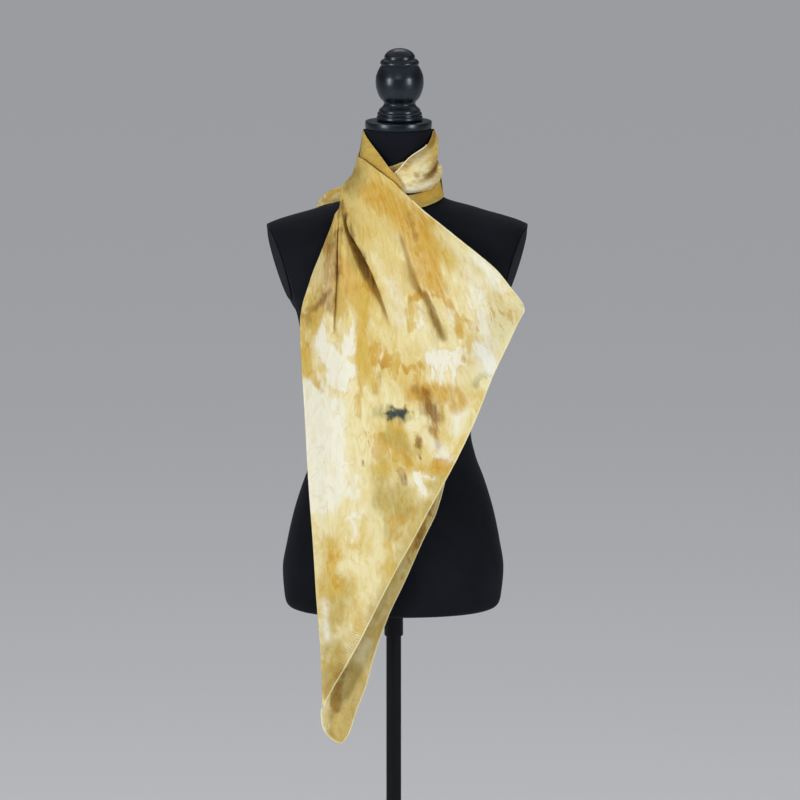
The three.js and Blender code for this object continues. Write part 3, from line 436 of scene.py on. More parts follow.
finial_bottom = cap_bottom + 11 + 0.3
foot_outline = [
    (32.2, 0), (33.0, 0.5), (33.6, 1.8), (33.8, 3.6), (33.5, 5.6), (32.9, 6.6), (32.0, 7.2), (31.9, 7.7),
    (32.5, 8.4), (32.8, 9.6), (32.5, 11), (31.6, 12.1), (30.5, 12.7), (30.3, 13.2), (30.5, 14.2),
    (30.2, 15.4), (29.0, 17.0),
]
finial_swell = table("h r", [
    (17.0, 29.0), (19.2, 26.5), (21.5, 24.4), (24.5, 22.9), (26, 23.1), (28, 24.2), (33, 28.6), (38, 31.2),
    (43.5, 33.1), (50, 34.7), (56.5, 35.2), (63, 34.8), (69, 33.2), (75, 30.6), (79.5, 28.2),
])
crown_outline = [
    (27.2, 80.4), (26.9, 81.0), (27.3, 81.8), (28.2, 82.9), (28.5, 84.4), (28.1, 86.2), (27.0, 87.9),
    (25.4, 89.2), (23.4, 89.9), (22.6, 90.4), (22.3, 91.4), (22.5, 92.8), (22.2, 94.6), (21.2, 96.6),
    (19.6, 98.7), (17.4, 100.7), (14.6, 102.5), (11.2, 104.0), (7.4, 105.1), (3.4, 105.7), (0.6, 105.8),
]
swell_heights = np.arange(18.2, 79.6, 1.4)
finial_outline = foot_outline + [(float(smooth(finial_swell, "h", "r", h)), float(h)) for h in swell_heights]
finial_outline += crown_outline
turned_piece("finial_turned", finial_outline, 8.8, finial_bottom, 128, 0, black_paint, "finial")


# The silk: one square of light silk satin, 76 cm a side, dyed by hand in gold, cream and brown before it was
# hemmed. It is folded corner to corner, wound once round the neck and pinched at the left; the half in front
# and the half behind hang from there. Tables in millimetres, as in the part's source.
panel_rows = table("z left right d_left d_quarter d_middle d_three d_right", [
    (1469, -52, -45.5, 2, 15, 23, 27, 30), (1462, -54.5, -33.5, 2, 31, 41, 46, 49),
    (1455, -56.5, -23, 3, 40, 51, 56, 59), (1447, -59, -10.5, 4, 48, 59, 64, 66),
    (1438, -63.5, 1.5, 8, 55, 66, 70, 71), (1430, -72, 9, 14, 59, 71, 75, 75),
    (1421, -76.5, 20, 24, 64, 76, 80, 78), (1411, -77.5, 30, 33, 69, 82, 85, 81),
    (1398, -79, 44.5, 45, 76, 89, 92, 85), (1391, -85, 53.5, 50, 80, 93, 96, 87),
    (1374, -91.3, 75.5, 58, 89, 101, 102, 91), (1357, -98.5, 97, 63, 97, 108, 107, 95),
    (1334, -107.7, 126, 66, 106, 116, 114, 97), (1312, -116.8, 150.5, 67, 113, 121, 119, 94),
    (1290, -124, 168, 66, 118, 125, 121, 87), (1268, -131, 184.5, 64, 121, 128, 123, 80),
    (1259, -133, 189, 64, 122, 129, 124, 78), (1252, -134.3, 190, 64, 122, 129.5, 124, 77.5),
    (1245, -135.3, 186.5, 64, 123, 130, 124, 78), (1234, -136.3, 180.5, 65, 123, 130, 125, 81),
    (1208, -136, 168, 67, 124, 131, 126, 88), (1163, -133.8, 145.5, 73, 124, 131, 127, 102),
    (1102, -130, 120.5, 82, 123, 130, 128, 117), (1050, -127.2, 96, 89, 122, 129, 129, 125),
    (1011, -125, 75.5, 93, 122, 129, 130, 129), (968, -122, 52, 98, 122, 129, 131, 131),
    (922, -118.5, 27.7, 102, 122, 129, 132, 133), (883, -116, 6, 105, 123, 129, 133, 134),
    (832, -113, -20.3, 108, 124, 129, 132, 134), (777, -108.6, -47.3, 111, 123, 128, 131, 132),
    (732, -106, -71.5, 113, 121, 126, 128, 129), (700, -105, -89.5, 114, 118, 122, 123, 125),
    (680, -104.6, -99, 115, 116.5, 118, 119, 120), (672, -104.6, -101.6, 115, 115.6, 116.4, 117, 117.6),
])
fold_rows = table("z valley pleat trough valley_deep pleat_deep trough_deep", [
    (1469, -50.6, -49.2, -47.6, 0, 0, 0), (1438, -56, -46, -22, 0, 0, 0), (1411, -71, -63, -26, 0, 0, 0),
    (1398, -72, -64, -18, 1.5, 1.5, 0.5), (1391, -77, -68, -14, 5, 6, 1), (1374, -80.3, -64, -8, 8, 9, 2),
    (1341, -81.7, -43.6, 4, 9, 9, 4), (1304, -82.3, -25.3, 20, 8, 8, 5),
    (1268, -83.8, -13.5, 36, 4.5, 3, 4.4), (1226, -86, -3, 66, 2, 0.6, 2.8), (1190, -86, 4, 72, 1, 0, 2),
    (1102, -82, 0, 55, 0.6, 0, 0.5), (968, -86, -40, 5, 0.5, 0, 0), (777, -94, -79, -62, 0, 0, 0),
    (672, -103.8, -103, -102.3, 0, 0, 0),
])
valley_reach, pleat_reach, pleat_step, trough_reach = 9.0, 13.0, 2.6, 26.0
back_rows = table("z right d_third d_two d_right", [
    (1388, -62, 60, 68, 74), (1374, -50, 74, 82, 88), (1341, -18, 88, 97, 103), (1290, 22, 100, 113, 117),
    (1240, 56, 104, 119, 119), (1190, 78, 102, 119, 117), (1120, 88, 102, 113, 111),
    (1060, 85, 103, 109, 107), (1012, 76, 104, 108, 105), (959, 61.7, 106, 110, 108),
    (918, 42.3, 108, 111, 110), (857, 15.7, 109, 112, 111.5), (805, -8.5, 107, 110, 112),
    (741, -30.4, 103, 106, 113), (704, -40, 100, 104, 114), (665, -54.7, 99, 105, 116),
    (640, -62.5, 106, 109, 118), (626, -68.5, 114, 115, 119.5), (618, -75.5, 119.5, 119.5, 121),
])
back_left = table("z left depth", [
    (1388, -86.2, 51.5), (672, -104.6, 115), (659.5, -105.7, 116), (648, -105, 117.5), (640, -103.2, 118.5),
    (632, -99, 119.5), (626, -93.6, 120.5), (618, -81.5, 121.5),
])
silk_wall = 0.6
panel_top, pinch_height, neck_round_top, panel_bottom = 1469.0, 1398.0, 1440.0, 672.0
back_top, back_bottom = 1388.0, 618.0
front_clear, fold_clear, back_clear = 6.4, 4.2, 2.4
rim_inset, rim_gap, layer_gap = 2.1, 1.3, 3.2
fold_radius_top, fold_radius_low = 8.0, 11.0


def ease(t):
    t = np.clip(t, 0, 1)
    return t * t * (3 - 2 * t)


def soft_max(a, b, rounding):
    return (a + b + np.sqrt((a - b) ** 2 + rounding * rounding)) / 2


def form_reach(x, z):
    """How far the form's front reaches at x and z."""
    half, depth, square = (float(smooth(form_sections, "z", c, z)) for c in ("half", "front", "square"))
    out = np.minimum(np.abs(x - middle(z)) / half, 1)
    return depth * (1 - out**square) ** (1 / square)


def clear_of_form(x, z, clear):
    """The form's front, moved out by a distance square to its surface."""
    slope_x = (form_reach(x + 1, z) - form_reach(x - 1, z)) / 2
    slope_z = (form_reach(x, z + 1) - form_reach(x, z - 1)) / 2
    return form_reach(x, z) + clear * np.minimum(4, np.sqrt(1 + slope_x**2 + slope_z**2))


def fold_edge(z):
    """Depth of the left fold's outermost line."""
    left, hung = (float(smooth(panel_rows, "z", c, z)) for c in ("left", "d_left"))
    if z > pinch_height:
        return hung
    held = float(soft_max(hung, clear_of_form(np.array(left), z, fold_clear), 2))
    return hung + (held - hung) * float(ease((pinch_height - z) / 15))


def fold_width(z):
    return fold_radius_low + (fold_radius_top - fold_radius_low) * min(1, max(0, (z - 700) / 500))


def fold_relief(x, z):
    """Height of the main folds over the plain panel."""
    valley, pleat, trough, valley_deep, pleat_deep, trough_deep = (
        float(smooth(fold_rows, "z", c, z)) for c in ("valley", "pleat", "trough", "valley_deep",
        "pleat_deep", "trough_deep")
    )
    room = min(1, max(0, (pleat - valley) / 30))
    upright = valley_deep * np.exp(-np.abs(x - valley) / (valley_reach * (0.4 + 0.6 * room)))
    before = np.exp(np.minimum(0, x - pleat) / (pleat_reach * (0.25 + 0.75 * room)))
    under = np.where(x < pleat, before, ease(1 - (x - pleat) / pleat_step))
    soft = np.exp(-(((x - trough) / trough_reach) ** 2))
    return -upright - pleat_deep * under - trough_deep * soft


def fold_lips(x, z):
    """The cloth on both sides of the upright valley swells towards it, the pleat's edge stands out over the
    hollow at its left, and the cloth swells again between pleat and trough."""
    valley, pleat, trough, valley_deep, pleat_deep, trough_deep = (
        float(smooth(fold_rows, "z", c, z)) for c in ("valley", "pleat", "trough", "valley_deep",
        "pleat_deep", "trough_deep")
    )
    left = float(smooth(panel_rows, "z", "left", z))
    room_left, room_right = max(3, valley - left), max(3, pleat - valley)
    swell = min(1, room_left / 20) * np.exp(-(((x - valley + room_left * 0.36) / (room_left * 0.30)) ** 2))
    swell += 0.8 * min(1,
        room_right / 25) * np.exp(-(((x - valley - room_right * 0.30) / (room_right * 0.26)) ** 2))
    notch = np.exp(-np.abs(x - valley) / 2.6)
    ahead = x - pleat - pleat_step
    stand = np.where(ahead > 0, np.exp(-((np.maximum(ahead, 0) / 15) ** 2)), ease(1 + ahead / pleat_step))
    hollow = np.exp(-np.abs(x - pleat + 1.5) / 4)
    swell_next = np.exp(-(((x - (pleat * 0.42 + trough * 0.58)) / max(4, (trough - pleat) * 0.30)) ** 2))
    return (1.15 * valley_deep * swell - 4.0 * min(1, valley_deep / 4) * notch + 0.85 * pleat_deep * stand
            - 1.6 * min(1, pleat_deep / 4) * hollow + 0.55 * trough_deep * swell_next)


def panel_front(x, z):
    """Depth of the hanging panel: hung freely, kept clear of the form, turned in at the left fold."""
    x = np.asarray(x, float)
    left, right = (float(smooth(panel_rows, "z", c, z)) for c in ("left", "right"))
    depths = [float(smooth(panel_rows, "z", c, z)) for c in ("d_left", "d_quarter", "d_middle", "d_three",
        "d_right")]
    across = {"share": np.arange(5) / 4, "depth": np.array(depths)}
    edge = fold_edge(z)
    inner = min(fold_width(z), (right - left) * 0.6)
    turn = np.sqrt(1 - (1 - np.clip((x - left) / inner, 0, 1)) ** 2)
    share = np.clip((x - left) / (right - left), 0, 1)
    loose = smooth(across, "share", "depth", share) + fold_relief(x, z) * ease((x - left) / 12)
    held = np.maximum(edge + 1, soft_max(loose, clear_of_form(x, z, front_clear), 3))
    if z > pinch_height:
        turn = 1 - (1 - turn) * float(ease((neck_round_top - z) / (neck_round_top - pinch_height)))
    return np.maximum(edge, edge + (held - edge) * turn)


# Lesser creases: from and to (x, z), half width there, depth, and how far the ends fade. A trough is positive,
# a ridge negative.
creases = [
    (-74, 1394, -56, 1355, 4, 2.2, 0.2), (-56, 1355, -40, 1306, 6, 2.6, 0.3),
    (-60, 1392, -34, 1330, 3.5, -1.5, 0.3), (-13, 1283, 14, 1240, 5, 1.8, 0.35),
    (-24, 1300, 4, 1236, 5, -1.2, 0.3), (46, 1290, 60, 1255, 6, 2.6, 0.3),
    (60, 1255, 70, 1214, 6, 1.5, 0.7), (70, 1300, 84, 1226, 8, -1.8, 0.35),
    (30, 1262, 52, 1210, 7, -1.4, 0.3), (8, 1370, 33, 1294, 6, 2.4, 0.3),
    (31, 1297, 50, 1270, 4.0, 3.0, 0.4), (49, 1272, 72, 1216, 4.5, 1.6, 0.9),
    (34, 1270, 62, 1212, 5, -2.2, 0.35), (68, 1270, 88, 1214, 6, -2.4, 0.35),
    (-66, 1385, -38, 1326, 4.5, 2.8, 0.3), (-92, 1378, -97, 1330, 3.5, 2.4, 0.35),
    (-88, 1330, -90, 1262, 3.5, -2.2, 0.35), (12, 1026, 19, 1002, 2.5, 1.4, 0.4),
    (67, 1347, 91, 1323, 3.5, 1.3, 0.3), (91, 1323, 104, 1306, 3.5, 1.0, 0.4),
    (2, 1036, 22, 1005, 3, 1.3, 0.3), (22, 1005, 50, 970, 3, 0.9, 0.35), (-15, 1037, 60, 1036, 3, 0.7, 0.3),
    (60, 1036, 92, 1040, 3, 0.5, 0.3), (-20, 1200, 22, 1158, 6, 1.0, 0.35),
    (-70, 1412, -30, 1345, 7, -1.6, 0.3), (-58, 1420, 18, 1330, 9, -1.8, 0.3),
    (-72, 1425, -36, 1448, 4, 1.2, 0.3), (-60, 1404, -10, 1432, 7, 1.3, 0.35),
    (-20, 1412, 32, 1362, 9, 1.4, 0.35), (-100, 1362, -113, 1290, 7, -2.2, 0.3),
    (-94, 1352, -98, 1262, 5, 1.5, 0.35), (-104, 1300, -122, 1214, 7, 1.4, 0.35),
    (-118, 1255, -126, 1130, 6, -1.5, 0.3), (-60, 1225, -52, 1130, 10, 1.3, 0.4),
    (-20, 1160, -14, 1040, 12, -1.4, 0.4), (100, 1290, 128, 1190, 10, 1.6, 0.35),
    (132, 1300, 150, 1215, 9, -1.5, 0.35), (152, 1290, 168, 1230, 6, 1.2, 0.35),
    (40, 1150, 62, 1060, 10, 1.2, 0.35), (84, 1140, 78, 1060, 9, -1.1, 0.35),
    (-108, 1060, -112, 900, 8, 1.3, 0.35), (-118, 900, -110, 770, 5, -1.3, 0.3),
    (-96, 840, -98, 740, 5, 1.2, 0.3), (-60, 940, -66, 820, 9, -1.2, 0.35),
    (-10, 980, -30, 880, 9, 1.1, 0.35), (-92, 1010, -86, 930, 6, 0.8, 0.35),
    (24, 1100, 8, 1052, 5, 0.8, 0.35), (62, 1196, 96, 1150, 6, 0.8, 0.35),
    (-46, 1150, -30, 1118, 5, 0.8, 0.35), (-84, 1236, -76, 1196, 4, 1.6, 0.35),
]


def crease_relief(x, z, marks):
    """Height that the lesser creases add at each point."""
    total = np.zeros_like(x, float)
    for x1, z1, x2, z2, wide, deep, fade in marks:
        along_x, along_z = x2 - x1, z2 - z1
        t = ((x - x1) * along_x + (z - z1) * along_z) / (along_x**2 + along_z**2)
        off = ((x - x1) * along_z - (z - z1) * along_x) / math.hypot(along_x, along_z)
        ends = ease((t + fade * 0.5) / fade) * ease((1 + fade * 0.5 - t) / fade)
        total -= deep * ends * np.exp(-(np.abs(off / wide) ** 1.35))
    return total


def soft_noise(x, z, size, seed):
    return np.array([noise.noise(Vector((a / size, b / size, seed))) for a,
        b in zip(np.ravel(x), np.ravel(z))]).reshape(np.shape(x))


# Columns of the hanging panel run with its folds; rows lie closest over the folds
panel_columns = [("left", "valley", 22), ("valley", "pleat", 20), ("pleat", "shoulder", 4),
    ("shoulder", "trough", 20), ("trough", "right", 38)]
shared_rows = list(np.linspace(back_top, 1245, 60)) + list(np.linspace(1245, 1000, 82))[1:]
shared_rows += list(np.linspace(1000, panel_bottom, 104))[1:]
neck_rows = list(np.linspace(panel_top, pinch_height, 32)) + [1395.5, 1393, 1390.5]
panel_heights = neck_rows + shared_rows
panel_grid = []
for z in panel_heights:
    left, right = (float(smooth(panel_rows, "z", c, z)) for c in ("left", "right"))
    valley, pleat, trough = (float(smooth(fold_rows, "z", c, z)) for c in ("valley", "pleat", "trough"))
    lines = {"left": left, "valley": valley, "pleat": pleat, "trough": trough, "right": right,
             "shoulder": pleat + min(pleat_step, (trough - pleat) / 5)}
    row_x = [np.array([left])]
    for start, end, steps in panel_columns:
        t = np.arange(1, steps + 1) / steps
        t = t**1.5 if start == "left" else t
        row_x.append(lines[start] + (lines[end] - lines[start]) * t)
    x = np.concatenate(row_x)
    inside = ease((x - left) / 14) * ease((right - x) / 9) * float(ease((z - 690) / 60))
    depth = panel_front(x, z) + (crease_relief(x, np.full_like(x, z), creases) + fold_lips(x,
        z) * float(ease((1395 - z) / 22))) * inside
    ripple = 1.1 * soft_noise(x, np.full_like(x, z), 46, 3.1) + 0.5 * soft_noise(x, np.full_like(x, z), 15,
        8.7)
    depth = depth + ripple * inside * 0.9
    pleat_deep, valley_deep = (float(smooth(fold_rows, "z", c, z)) for c in ("pleat_deep", "valley_deep"))
    pleat_deep, valley_deep = (deep * float(ease((1397 - z) / 18)) for deep in (pleat_deep, valley_deep))
    lap = -0.55 * pleat_deep * np.exp(-(((x - lines["shoulder"] - 1) / 4.0) ** 2))
    lap += 0.30 * valley_deep * np.exp(-(((x - valley + 4.5) / 3.2) ** 2))
    lap -= 0.30 * valley_deep * np.exp(-(((x - valley - 4.0) / 3.0) ** 2)) * min(1, (pleat - valley) / 16)
    panel_grid.append(np.stack([x + lap, -depth, np.full_like(x, z)], axis=1))
panel_grid = np.array(panel_grid)


fine_step = 0.5


def hollow_of(grid, width):
    """How deep each point lies below the cloth around it in its row: 1 in a trough, -1 on a ridge."""
    hollow = []
    half = int(60 / fine_step)
    reach = np.exp(-((np.arange(-half, half + 1) * fine_step / width) ** 2))
    for row in grid:
        even = np.arange(row[:, 0].min(), row[:, 0].max() + fine_step, fine_step)
        order = np.argsort(row[:, 0])
        depth = np.interp(even, row[order, 0], row[order, 1])
        around = np.convolve(np.pad(depth, half, mode="edge"), reach / reach.sum(), mode="valid")
        hollow.append(row[:, 1] - np.interp(row[:, 0], even, around))
    hollow = np.array(hollow)
    for k in range(2):
        hollow[1:-1] = (hollow[:-2] + 2 * hollow[1:-1] + hollow[2:]) / 4
    return np.clip(hollow / 3.2, -1, 1)


# The painted shade in the folds is strongest between the pinch and the chest, and fades towards the left fold
# and the free hem
panel_fold_shade_share = np.array([
    ease((row[:, 0] - row[0, 0] - 3) / 22) * ease((row[-1, 0] - row[:, 0] - 30) / 40)
    * float(ease((row[0, 2] - 1190) / 60)) * float(ease((1406 - row[0, 2]) / 32))
    for row in panel_grid
])

# The hem's stitching draws the cloth in fine puckers along the lower half of the free hem
panel_puckers = np.array([
    ease(1.25 - (row[-1, 0] - row[:, 0]) / 24) * float(ease((900 - row[0, 2]) / 150)) * float(ease((row[0,
    2] - 676) / 14)) for row in panel_grid
])

back_columns = 46
back_heights = shared_rows + list(np.linspace(panel_bottom, back_bottom, 24))[1:]
back_grid = []
for z in back_heights:
    shared = z >= panel_bottom
    own_left, own_depth = (float(smooth(back_left, "z", c, z)) for c in ("left", "depth"))
    left = (float(smooth(panel_rows, "z", "left", z)) if shared else own_left) + rim_inset * float(ease((z
        - panel_bottom) / 20))
    edge = (fold_edge(z) if shared else own_depth) - rim_gap
    right = float(smooth(back_rows, "z", "right", z))
    share = (np.arange(back_columns + 1) / back_columns) ** 1.25
    x = left + (right - left) * share
    depths = [float(smooth(back_rows, "z", c, z)) for c in ("d_third", "d_third", "d_two", "d_right")]
    hang = smooth({"share": np.arange(4) / 3, "depth": np.array(depths)}, "share", "depth", share)
    behind = -soft_max(-hang, layer_gap - panel_front(x, z), 1) if shared else hang
    turned = edge + (behind - edge) * ease((x - left) / fold_width(z))
    depth = soft_max(turned, clear_of_form(x, z, back_clear), 0.6)
    back_grid.append(np.stack([x, -depth, np.full_like(x, z)], axis=1))
back_grid = np.array(back_grid)


def cloth_piece(name, parts, bridges, wall, material, layers, hollows=None, puckers=None):
    """Cloth from grids of points (mm), right sides as each grid's last value says, joined by bridges between
    two columns of points. Its UV map is the cloth's own width and length in metres."""
    points, faces, spots = [], [], []
    starts = []
    for grid, flip, shift in parts:
        down, across = grid.shape[:2]
        start = len(points)
        starts.append(start)
        points += [tuple(p) for p in (grid.reshape(-1, 3) / 1000)]
        step_across = np.linalg.norm(np.diff(grid, axis=1), axis=2)
        run_across = np.concatenate([np.zeros((down, 1)), np.cumsum(step_across, axis=1)], axis=1)
        step_down = np.linalg.norm(np.diff(grid, axis=0), axis=2)
        run_down = np.concatenate([np.zeros((1, across)), np.cumsum(step_down, axis=0)], axis=0)
        sign = -1 if flip else 1
        spots += [(shift + sign * u / 1000, v / 1000) for u, v in zip(run_across.ravel(),
            run_down.mean(axis=1).repeat(across))]
        for j in range(down - 1):
            for i in range(across - 1):
                a = start + j * across + i
                quad = (a, a + across, a + across + 1, a + 1)
                faces.append(tuple(reversed(quad)) if flip else quad)
    for (part_a, rows_a), (part_b, rows_b) in bridges:
        across_a, across_b = parts[part_a][0].shape[1], parts[part_b][0].shape[1]
        for ja, jb in zip(zip(rows_a, rows_a[1:]), zip(rows_b, rows_b[1:])):
            a1, a2 = (starts[part_a] + j * across_a for j in ja)
            b1, b2 = (starts[part_b] + j * across_b for j in jb)
            faces.append((a1, b1, b2, a2))
    mesh = bpy.data.meshes.new(name)
    mesh.from_pydata(points, [], faces)
    layer = mesh.uv_layers.new(name="cloth")
    for loop in mesh.loops:
        layer.data[loop.index].uv = spots[loop.vertex_index]
    piece = bpy.data.objects.new(name, mesh)
    bpy.context.scene.collection.objects.link(piece)
    bpy.ops.object.select_all(action="DESELECT")
    bpy.context.view_layer.objects.active = piece
    piece.select_set(True)
    lay_strokes(piece, layers)
    if hollows is not None:
        mesh.attributes.new("hollow", "FLOAT", "POINT").data.foreach_set("value", hollows.astype(np.float32))
    if puckers is not None:
        mesh.attributes.new("pucker", "FLOAT", "POINT").data.foreach_set("value", puckers.astype(np.float32))
    body = piece.modifiers.new("wall", "SOLIDIFY")
    body.thickness = wall / 1000
    body.offset = 0
    bpy.ops.object.modifier_apply(modifier=body.name)
    bpy.ops.object.shade_smooth()
    piece.data.materials.append(material)
    return piece


# Dye lies on the cloth in layers as it was poured, and some strokes in the layers are painted shade and
# painted highlight along the folds. A layer's place is stored on the cloth as the distance to the edges of its
# strokes. This group frays that edge, lets it soak in unevenly and lays the layer's colour over the rest.
stroke_layer, layer_in, layer_out = new_group(
    "stroke_layer", [("Colour", "NodeSocketColor", (1, 1, 1, 1)), ("Dye", "NodeSocketColor", (1, 1, 1, 1)),
    ("Edge", "NodeSocketFloat", 0.0), ("Drift", "NodeSocketFloat", 0.0), ("Fray", "NodeSocketFloat", 1.0),
    ("Feather", "NodeSocketFloat", 3.0), ("Strength", "NodeSocketFloat", 1.0),
    ("Soak", "NodeSocketFloat", 1.0), ("Rim", "NodeSocketFloat", 0.2)], [("Color", "NodeSocketColor")],
)
frayed = reckon(stroke_layer, "ADD", layer_in["Edge"], reckon(stroke_layer, "MULTIPLY", layer_in["Drift"],
    layer_in["Fray"]))
soaked = spread(stroke_layer, frayed, reckon(stroke_layer, "MULTIPLY", layer_in["Feather"], -1.0),
    layer_in["Feather"], 1.0, 0.0)
laid = reckon(stroke_layer, "MULTIPLY", soaked, reckon(stroke_layer, "MULTIPLY", layer_in["Strength"],
    layer_in["Soak"]))
over = add_node(stroke_layer, "ShaderNodeMix", {"data_type": "RGBA"}, {"Factor": laid, 6: layer_in["Colour"],
    7: layer_in["Dye"]})
off_rim = reckon(stroke_layer, "ABSOLUTE", reckon(stroke_layer, "SUBTRACT", frayed, 0.6))
rim = reckon(stroke_layer, "MULTIPLY", spread(stroke_layer, off_rim, 0.0, 2.4, 1.0, 0.0), layer_in["Rim"])
dried = add_node(stroke_layer, "ShaderNodeMix", {"data_type": "RGBA", "blend_type": "MULTIPLY"},
    {"Factor": rim, 6: over.outputs[2], 7: (0.86, 0.66, 0.36, 1)})
stroke_layer.links.new(dried.outputs[2], layer_out.inputs["Color"])

# The way the wet silk drew the dye: a broad drift of its edges, finer feathers that run down the cloth, the
# uneven soak, the thin dark veins where it dried last, and a small mottle
dye_drift, drift_in, drift_out = new_group(
    "dye_drift", [("Vector", "NodeSocketVector", None), ("Way", "NodeSocketVector", None)],
    [("Drift", "NodeSocketFloat"), ("Soak", "NodeSocketFloat"), ("Veins", "NodeSocketFloat"),
    ("Mottle", "NodeSocketFloat"), ("Fibre", "NodeSocketFloat")],
)
broad = add_node(dye_drift, "ShaderNodeTexNoise", None, {"Vector": drift_in["Vector"], "Scale": 26.0,
    "Detail": 2.0, "Roughness": 0.5, "Distortion": 0.6})
feathers = add_node(dye_drift, "ShaderNodeTexNoise", None, {"Vector": drift_in["Way"], "Scale": 1.0,
    "Detail": 3.5, "Roughness": 0.52, "Distortion": 0.9})
broad_mm = reckon(dye_drift, "MULTIPLY", reckon(dye_drift, "SUBTRACT", broad.outputs["Fac"], 0.5), 32.0)
feather_mm = reckon(dye_drift, "MULTIPLY", reckon(dye_drift, "SUBTRACT", feathers.outputs["Fac"], 0.5), 46.0)
dye_drift.links.new(reckon(dye_drift, "ADD", broad_mm, feather_mm), drift_out.inputs["Drift"])
soak_way = add_node(dye_drift, "ShaderNodeVectorMath", {"operation": "MULTIPLY"},
    {0: drift_in["Way"], 1: (0.42, 0.62, 0.6)})
soak = add_node(dye_drift, "ShaderNodeTexNoise", None, {"Vector": soak_way.outputs[0], "Scale": 1.0,
    "Detail": 4.0, "Roughness": 0.6, "Distortion": 0.9})
dye_drift.links.new(soak.outputs["Fac"], drift_out.inputs["Soak"])
vein_noise = add_node(dye_drift, "ShaderNodeTexNoise", None, {"Vector": soak_way.outputs[0], "Scale": 0.8,
    "Detail": 2.0, "Roughness": 0.5, "Distortion": 1.6})
vein_off = reckon(dye_drift, "ABSOLUTE", reckon(dye_drift, "SUBTRACT", vein_noise.outputs["Fac"], 0.5))
dye_drift.links.new(spread(dye_drift, vein_off, 0.0, 0.014, 1.0, 0.0), drift_out.inputs["Veins"])
mottle = add_node(dye_drift, "ShaderNodeTexNoise", None, {"Vector": drift_in["Way"], "Scale": 0.8,
    "Detail": 3.5, "Roughness": 0.5, "Distortion": 1.8})
dye_drift.links.new(mottle.outputs["Fac"], drift_out.inputs["Mottle"])
fibre = add_node(dye_drift, "ShaderNodeTexNoise", None, {"Vector": drift_in["Way"], "Scale": 3.4,
    "Detail": 3.0, "Roughness": 0.7, "Distortion": 0.8})
dye_drift.links.new(fibre.outputs["Fac"], drift_out.inputs["Fibre"])

# The dye ran along the gathers: on the hanging halves its feathers fan out from the pinch at the neck
fan_way, fan_in, fan_out = new_group(
    "fan_way", [("Vector", "NodeSocketVector", None), ("From X", "NodeSocketFloat", -0.078),
    ("From Z", "NodeSocketFloat", 1.50), ("Across", "NodeSocketFloat", 56.0),
    ("Along", "NodeSocketFloat", 30.0)], [("Way", "NodeSocketVector")],
)
placed = add_node(fan_way, "ShaderNodeSeparateXYZ", None, {0: fan_in["Vector"]})
side_off = reckon(fan_way, "SUBTRACT", placed.outputs["X"], fan_in["From X"])
fallen = reckon(fan_way, "SUBTRACT", fan_in["From Z"], placed.outputs["Z"])
reach_squared = reckon(fan_way, "ADD", reckon(fan_way, "MULTIPLY", side_off, side_off),
    reckon(fan_way, "MULTIPLY", fallen, fallen))
root_reach = reckon(fan_way, "POWER", reach_squared, 0.25)
fan_angle = reckon(fan_way, "ARCTAN2", side_off, fallen)
fanned = add_node(fan_way, "ShaderNodeCombineXYZ", None, {0: reckon(fan_way, "MULTIPLY",
    reckon(fan_way, "MULTIPLY", fan_angle, root_reach), fan_in["Across"]),
    1: reckon(fan_way, "MULTIPLY", reckon(fan_way, "MULTIPLY", root_reach, root_reach), fan_in["Along"]),
    2: reckon(fan_way, "MULTIPLY", placed.outputs["Y"], 25.0)})
fan_way.links.new(fanned.outputs[0], fan_out.inputs["Way"])

# Silk's own surface: fine threads across and along, slubs, and the small dents that never press out
silk_surface, surface_in, surface_out = new_group(
    "silk_surface",
    [("Cloth", "NodeSocketVector", None), ("Place", "NodeSocketVector", None)],
    [("Threads", "NodeSocketFloat"), ("Dents", "NodeSocketFloat"), ("Roughness", "NodeSocketFloat")],
)
weft = add_node(silk_surface, "ShaderNodeTexWave", {"bands_direction": "Y"},
    {"Vector": surface_in["Cloth"], "Scale": 340.0, "Distortion": 0.6, "Detail": 1.0})
warp = add_node(silk_surface, "ShaderNodeTexWave", {"bands_direction": "X"},
    {"Vector": surface_in["Cloth"], "Scale": 420.0, "Distortion": 0.4, "Detail": 1.0})
silk_surface.links.new(reckon(silk_surface, "ADD", weft.outputs["Fac"],
    reckon(silk_surface, "MULTIPLY", warp.outputs["Fac"], 0.6)), surface_out.inputs["Threads"])
slub_way = add_node(silk_surface, "ShaderNodeMapping", None, {"Vector": surface_in["Cloth"],
    "Scale": (30.0, 600.0, 1.0)})
slubs = add_node(silk_surface, "ShaderNodeTexNoise", None, {"Vector": slub_way.outputs[0], "Scale": 1.0,
    "Detail": 2.0})
dents = add_node(silk_surface, "ShaderNodeTexNoise", None, {"Vector": surface_in["Place"], "Scale": 42.0,
    "Detail": 4.0, "Roughness": 0.5, "Distortion": 0.7})
silk_surface.links.new(dents.outputs["Fac"], surface_out.inputs["Dents"])
silk_surface.links.new(spread(silk_surface, slubs.outputs["Fac"], 0.3, 0.7, 0.40, 0.52),
    surface_out.inputs["Roughness"])

# Fine tucks square to the free hem, where its stitches draw the cloth in
hem_puckers, pucker_in, pucker_out = new_group(
    "hem_puckers", [("Vector", "NodeSocketVector", None), ("Hem Way", "NodeSocketVector",
    (0.47, 0.0, 0.88)), ("Tucks per Metre", "NodeSocketFloat", 300.0)], [("Tucks", "NodeSocketFloat")],
)
along_hem = add_node(hem_puckers, "ShaderNodeVectorMath", {"operation": "DOT_PRODUCT"},
    {0: pucker_in["Vector"], 1: pucker_in["Hem Way"]})
uneven = add_node(hem_puckers, "ShaderNodeTexNoise", None, {"Vector": pucker_in["Vector"], "Scale": 60.0,
    "Detail": 2.0})
tuck_turn = reckon(hem_puckers, "ADD", reckon(hem_puckers, "MULTIPLY", along_hem.outputs["Value"],
    reckon(hem_puckers, "MULTIPLY", pucker_in["Tucks per Metre"], 2 * math.pi)),
    reckon(hem_puckers, "MULTIPLY", uneven.outputs["Fac"], 16.0))
